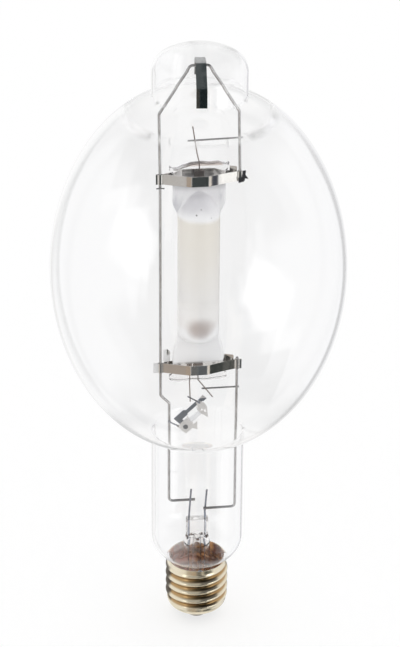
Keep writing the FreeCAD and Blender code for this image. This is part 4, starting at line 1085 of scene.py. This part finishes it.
def shellTree(s):
    net, given = startTree("rolledShell", s)
    size = {name: given.out(name) for name in s}
    counts = {"Vertices X": size["Around"], "Vertices Y": size["Along"]}
    grid = net.node("GeometryNodeMeshGrid", None, {"Size X": 1.0, "Size Y": 1.0, **counts})
    x, y, _ = net.axes(net.node("GeometryNodeInputPosition"))
    angle = (x + 0.5) * (2 * math.pi)

    # the sheet's length: cone from the hole, shoulder arc, then the upright thread
    bend = size["Shoulder Radius"]
    lean = size["Shoulder Angle"]
    arcCentre = size["Radius"] - bend
    coneRun = (arcCentre + bend * lean.math("COSINE") - size["Hole Radius"]) / lean.math("SINE")
    arcRun = bend * lean
    rise = size["Rim"] - size["Thread Foot"]
    travel = (y + 0.5) * (coneRun + arcRun + rise) - coneRun - arcRun
    upright = travel.math("MAXIMUM", 0)
    turned = (travel * -1 / bend).math("MAXIMUM", 0).math("MINIMUM", lean)
    left = (travel * -1 - arcRun).math("MAXIMUM", 0)
    radius = arcCentre + bend * turned.math("COSINE") - left * lean.math("SINE")
    height = size["Thread Foot"] + upright - bend * turned.math("SINE") - left * lean.math("COSINE")

    above = (height - size["Thread Foot"]) / size["Fade"]
    below = (size["Thread Top"] - height) / size["Fade"]
    shift = size["Shift"] * smoothTree(above.math("MINIMUM", below))
    phase = (height - size["Crest Height"]) / size["Pitch"] * (2 * math.pi)
    place = net.node("ShaderNodeCombineXYZ", None, {
        "X": radius * angle.math("COSINE") + shift * phase.math("COSINE"),
        "Y": radius * angle.math("SINE") + shift * phase.math("SINE"),
        "Z": height,
    })
    moved = net.node("GeometryNodeSetPosition", None, {"Geometry": grid, "Position": place})
    sealed = net.node("GeometryNodeMergeByDistance", None, {"Geometry": moved, "Distance": shellSeam})
    return endTree(net, given, net.node("GeometryNodeSetShadeSmooth", None, {"Geometry": sealed}))


def setInputs(modifier, tree, values):
    modifier.node_group = tree
    for item in tree.interface.items_tree:
        if item.in_out == "INPUT" and item.name in values:
            modifier[item.identifier] = values[item.name]


def bakeMesh(name, source):
    scene.collection.objects.link(source)
    bpy.context.view_layer.update()
    mesh = bpy.data.meshes.new_from_object(source.evaluated_get(bpy.context.evaluated_depsgraph_get()))
    mesh.name = name
    bpy.data.objects.remove(source)
    return mesh


brassSettings = {
    "pale": (0.74, 0.64, 0.44, 1),
    "bright": (0.93, 0.87, 0.72, 1),
    "brown": (0.26, 0.12, 0.025, 1),
    "gold": (0.52, 0.31, 0.09, 1),
    # the streak tone is a painted reflection and the left edge tone a painted shade
    "streakTone": (0.035, 0.03, 0.015, 1),
    "leftShadeTone": (0.03, 0.02, 0.012, 1),
    "cloudScale": 90,
    "rollScale": 60,
    "rollStretch": (1, 1, 14),
    "rollDepth": 0.00004,
    "rollRough": 0.14,
    "rough": 0.16,
    "leftShadeMetallic": 0.7,
    "leftShadeRough": 0.3,
    "threadFoot": 0.0142,
    "threadTop": 0.039,
    "threadSoft": 0.0012,
    "valley": (0.22, 0.82),
    "streakLag": 0.75,
    "streakDepth": (0.74, 0.95),
    "streakFrom": -1.85,
    "streakTo": -1.2,
    "streakSoft": 0.2,
    "leftEdge": (0.9, 0.97),
}


def brassShade(net):
    # the thread's own wave, 1 on a crest and -1 in a valley, places the brown in its valleys: partly
    # tarnish, partly painted shade
    s = brassSettings
    place = net.position()
    x, y, z = net.axes(place)
    turn = y.math("ARCTAN2", x)
    phase = (z - shellSettings["Crest Height"]) * (2 * math.pi / shellSettings["Pitch"])
    wave = (turn - phase).math("COSINE")
    threaded = z.band(s["threadFoot"], s["threadTop"], s["threadSoft"])
    valley = (0.5 - wave * 0.5).step(*s["valley"]) * threaded
    cloud = net.noise(place, s["cloudScale"], 4.0)
    rolled = net.noise(net.stretched(place, s["rollStretch"]), s["rollScale"], 3.0)
    plain = net.mix(cloud, s["pale"], s["bright"])
    deep = net.mix(rolled, s["brown"], s["gold"])
    colour = net.mix(valley * (0.7 + cloud * 0.3), plain, deep)
    # painted reflection: a dark streak below each valley in front; painted shade: a dark left edge,
    # rougher and less metallic
    lower = (turn - phase - s["streakLag"]).math("COSINE")
    under = (0.5 - lower * 0.5).step(*s["streakDepth"])
    under = under * turn.band(s["streakFrom"], s["streakTo"], s["streakSoft"])
    colour = net.mix(under * threaded * 0.85, colour, s["streakTone"])
    edge = (turn.math("COSINE") * -1).step(*s["leftEdge"]) * threaded
    return net.principled(
        Base_Color=net.mix(edge * 0.9, colour, s["leftShadeTone"]),
        Metallic=1.0 - edge * s["leftShadeMetallic"],
        Roughness=s["rough"] + rolled * s["rollRough"] + edge * s["leftShadeRough"],
        Normal=net.bump(rolled, s["rollDepth"], 0.5),
    )


def brassInside(net):
    # painted reflection on the inside of the sheet: pinkish grey on one side and copper brown on the
    # other
    place = net.position()
    x, _, _ = net.axes(place)
    cloud = net.noise(place, 110, 4.0)
    paintedBrownSide = (x * 50 + cloud * 0.6 + 0.2).step(0.1, 0.7)
    pale = net.mix(cloud.step(0.3, 0.7), (0.95, 0.55, 0.45, 1), (1.0, 0.96, 0.94, 1))
    brown = net.mix(cloud.step(0.35, 0.65), (0.16, 0.035, 0.006, 1), (1.0, 0.5, 0.17, 1))
    colour = net.mix(paintedBrownSide, pale, brown)
    return net.principled(Base_Color=colour, Metallic=0.15, Roughness=0.5 + cloud * 0.1)


def makeShell(s):
    brass = newMaterial("brass", brassShade)
    inside = newMaterial("brassInside", brassInside)
    source = bpy.data.objects.new("shellSource", bpy.data.meshes.new("shellSource"))
    rolled = source.modifiers.new("rolled", "NODES")
    setInputs(rolled, shellTree(s), {**s, "Finish": brass})
    wall = source.modifiers.new("wall", "SOLIDIFY")
    wall.thickness = shellWall
    wall.offset = -1
    wall.use_even_offset = True
    mesh = bakeMesh("rolled_shell", source)
    mesh.materials.clear()
    addPiece("rolled_shell", mesh, [brass, inside], "screw_shell")
    for face in mesh.polygons:
        inward = face.normal.x * face.center.x + face.normal.y * face.center.y < 0
        face.material_index = 1 if inward else 0


makeShell(shellSettings)


# Weld beads where the wires cross, by Geometry Nodes

print("stage 7: welds")
weldSettings = {"Bead Radius": 0.75 * mm, "Spread": 0.2, "Seed": 4}
weldStep = 0.5 * mm
weldReach = 10 * mm
weldPairs = [
    ("lead_wire_left", "frame_wire"),
    ("lead_wire_right", "support_rod"),
    ("upper_cross_wire", "frame_wire"),
    ("lower_cross_wire", "support_rod"),
    ("upper_lead", "upper_cross_wire"),
    ("lower_lead", "lower_cross_wire"),
    ("stop_wire", "frame_wire"),
    ("dome_spring", "frame_wire"),
    ("switch_lead_left", "frame_wire"),
    ("switch_lead_right", "switch_bracket_upper"),
    ("switch_lead_left", "switch_bracket_lower"),
]


def touchPoint(first, second):
    # the place where one piece comes nearest to another
    tree = BVHTree.FromObject(nodes[second], bpy.context.evaluated_depsgraph_get())
    mesh = nodes[first].data
    best = None
    for edge in mesh.edges:
        start, end = (mesh.vertices[i].co for i in edge.vertices)
        steps = max(1, round((end - start).length / weldStep))
        for step in range(steps + 1):
            point = start.lerp(end, step / steps)
            near, _, _, gap = tree.find_nearest(point, best[0] if best else weldReach)
            if near and (best is None or gap < best[0]):
                best = (gap, (near + point) / 2)
    return best[1]


def weldTree(s):
    net, given = startTree("weldBeads", s)
    inputs = {"Radius": given.out("Bead Radius"), "Subdivisions": 3}
    ball = net.node("GeometryNodeMeshIcoSphere", None, inputs)
    bead = net.node("GeometryNodeSetShadeSmooth", None, {"Geometry": ball})
    inputs = {2: 1 - given.out("Spread"), 3: 1 + given.out("Spread"), 8: given.out("Seed")}
    scale = net.node("FunctionNodeRandomValue", {"data_type": "FLOAT"}, inputs)
    lump = net.node("ShaderNodeCombineXYZ", None, {"X": scale, "Y": scale * 0.9, "Z": scale * 1.1})
    inputs = {"Points": given.out("Geometry"), "Instance": bead, "Scale": lump}
    return endTree(net, given, net.node("GeometryNodeInstanceOnPoints", None, inputs))


def makeWelds(s):
    finish = newMaterial("weldMetal", metal((0.4, 0.38, 0.36, 1), (0.12, 0.11, 0.11, 1), 0.3, 600))
    places = [touchPoint(*pair) for pair in weldPairs]
    mesh = bpy.data.meshes.new("weldPlaces")
    mesh.from_pydata(places, [], [])
    source = bpy.data.objects.new("weldSource", mesh)
    beads = source.modifiers.new("beads", "NODES")
    setInputs(beads, weldTree(s), {**s, "Finish": finish})
    mesh = bakeMesh("weld_beads", source)
    mesh.materials.clear()
    addPiece("weld_beads", mesh, [finish])


makeWelds(weldSettings)
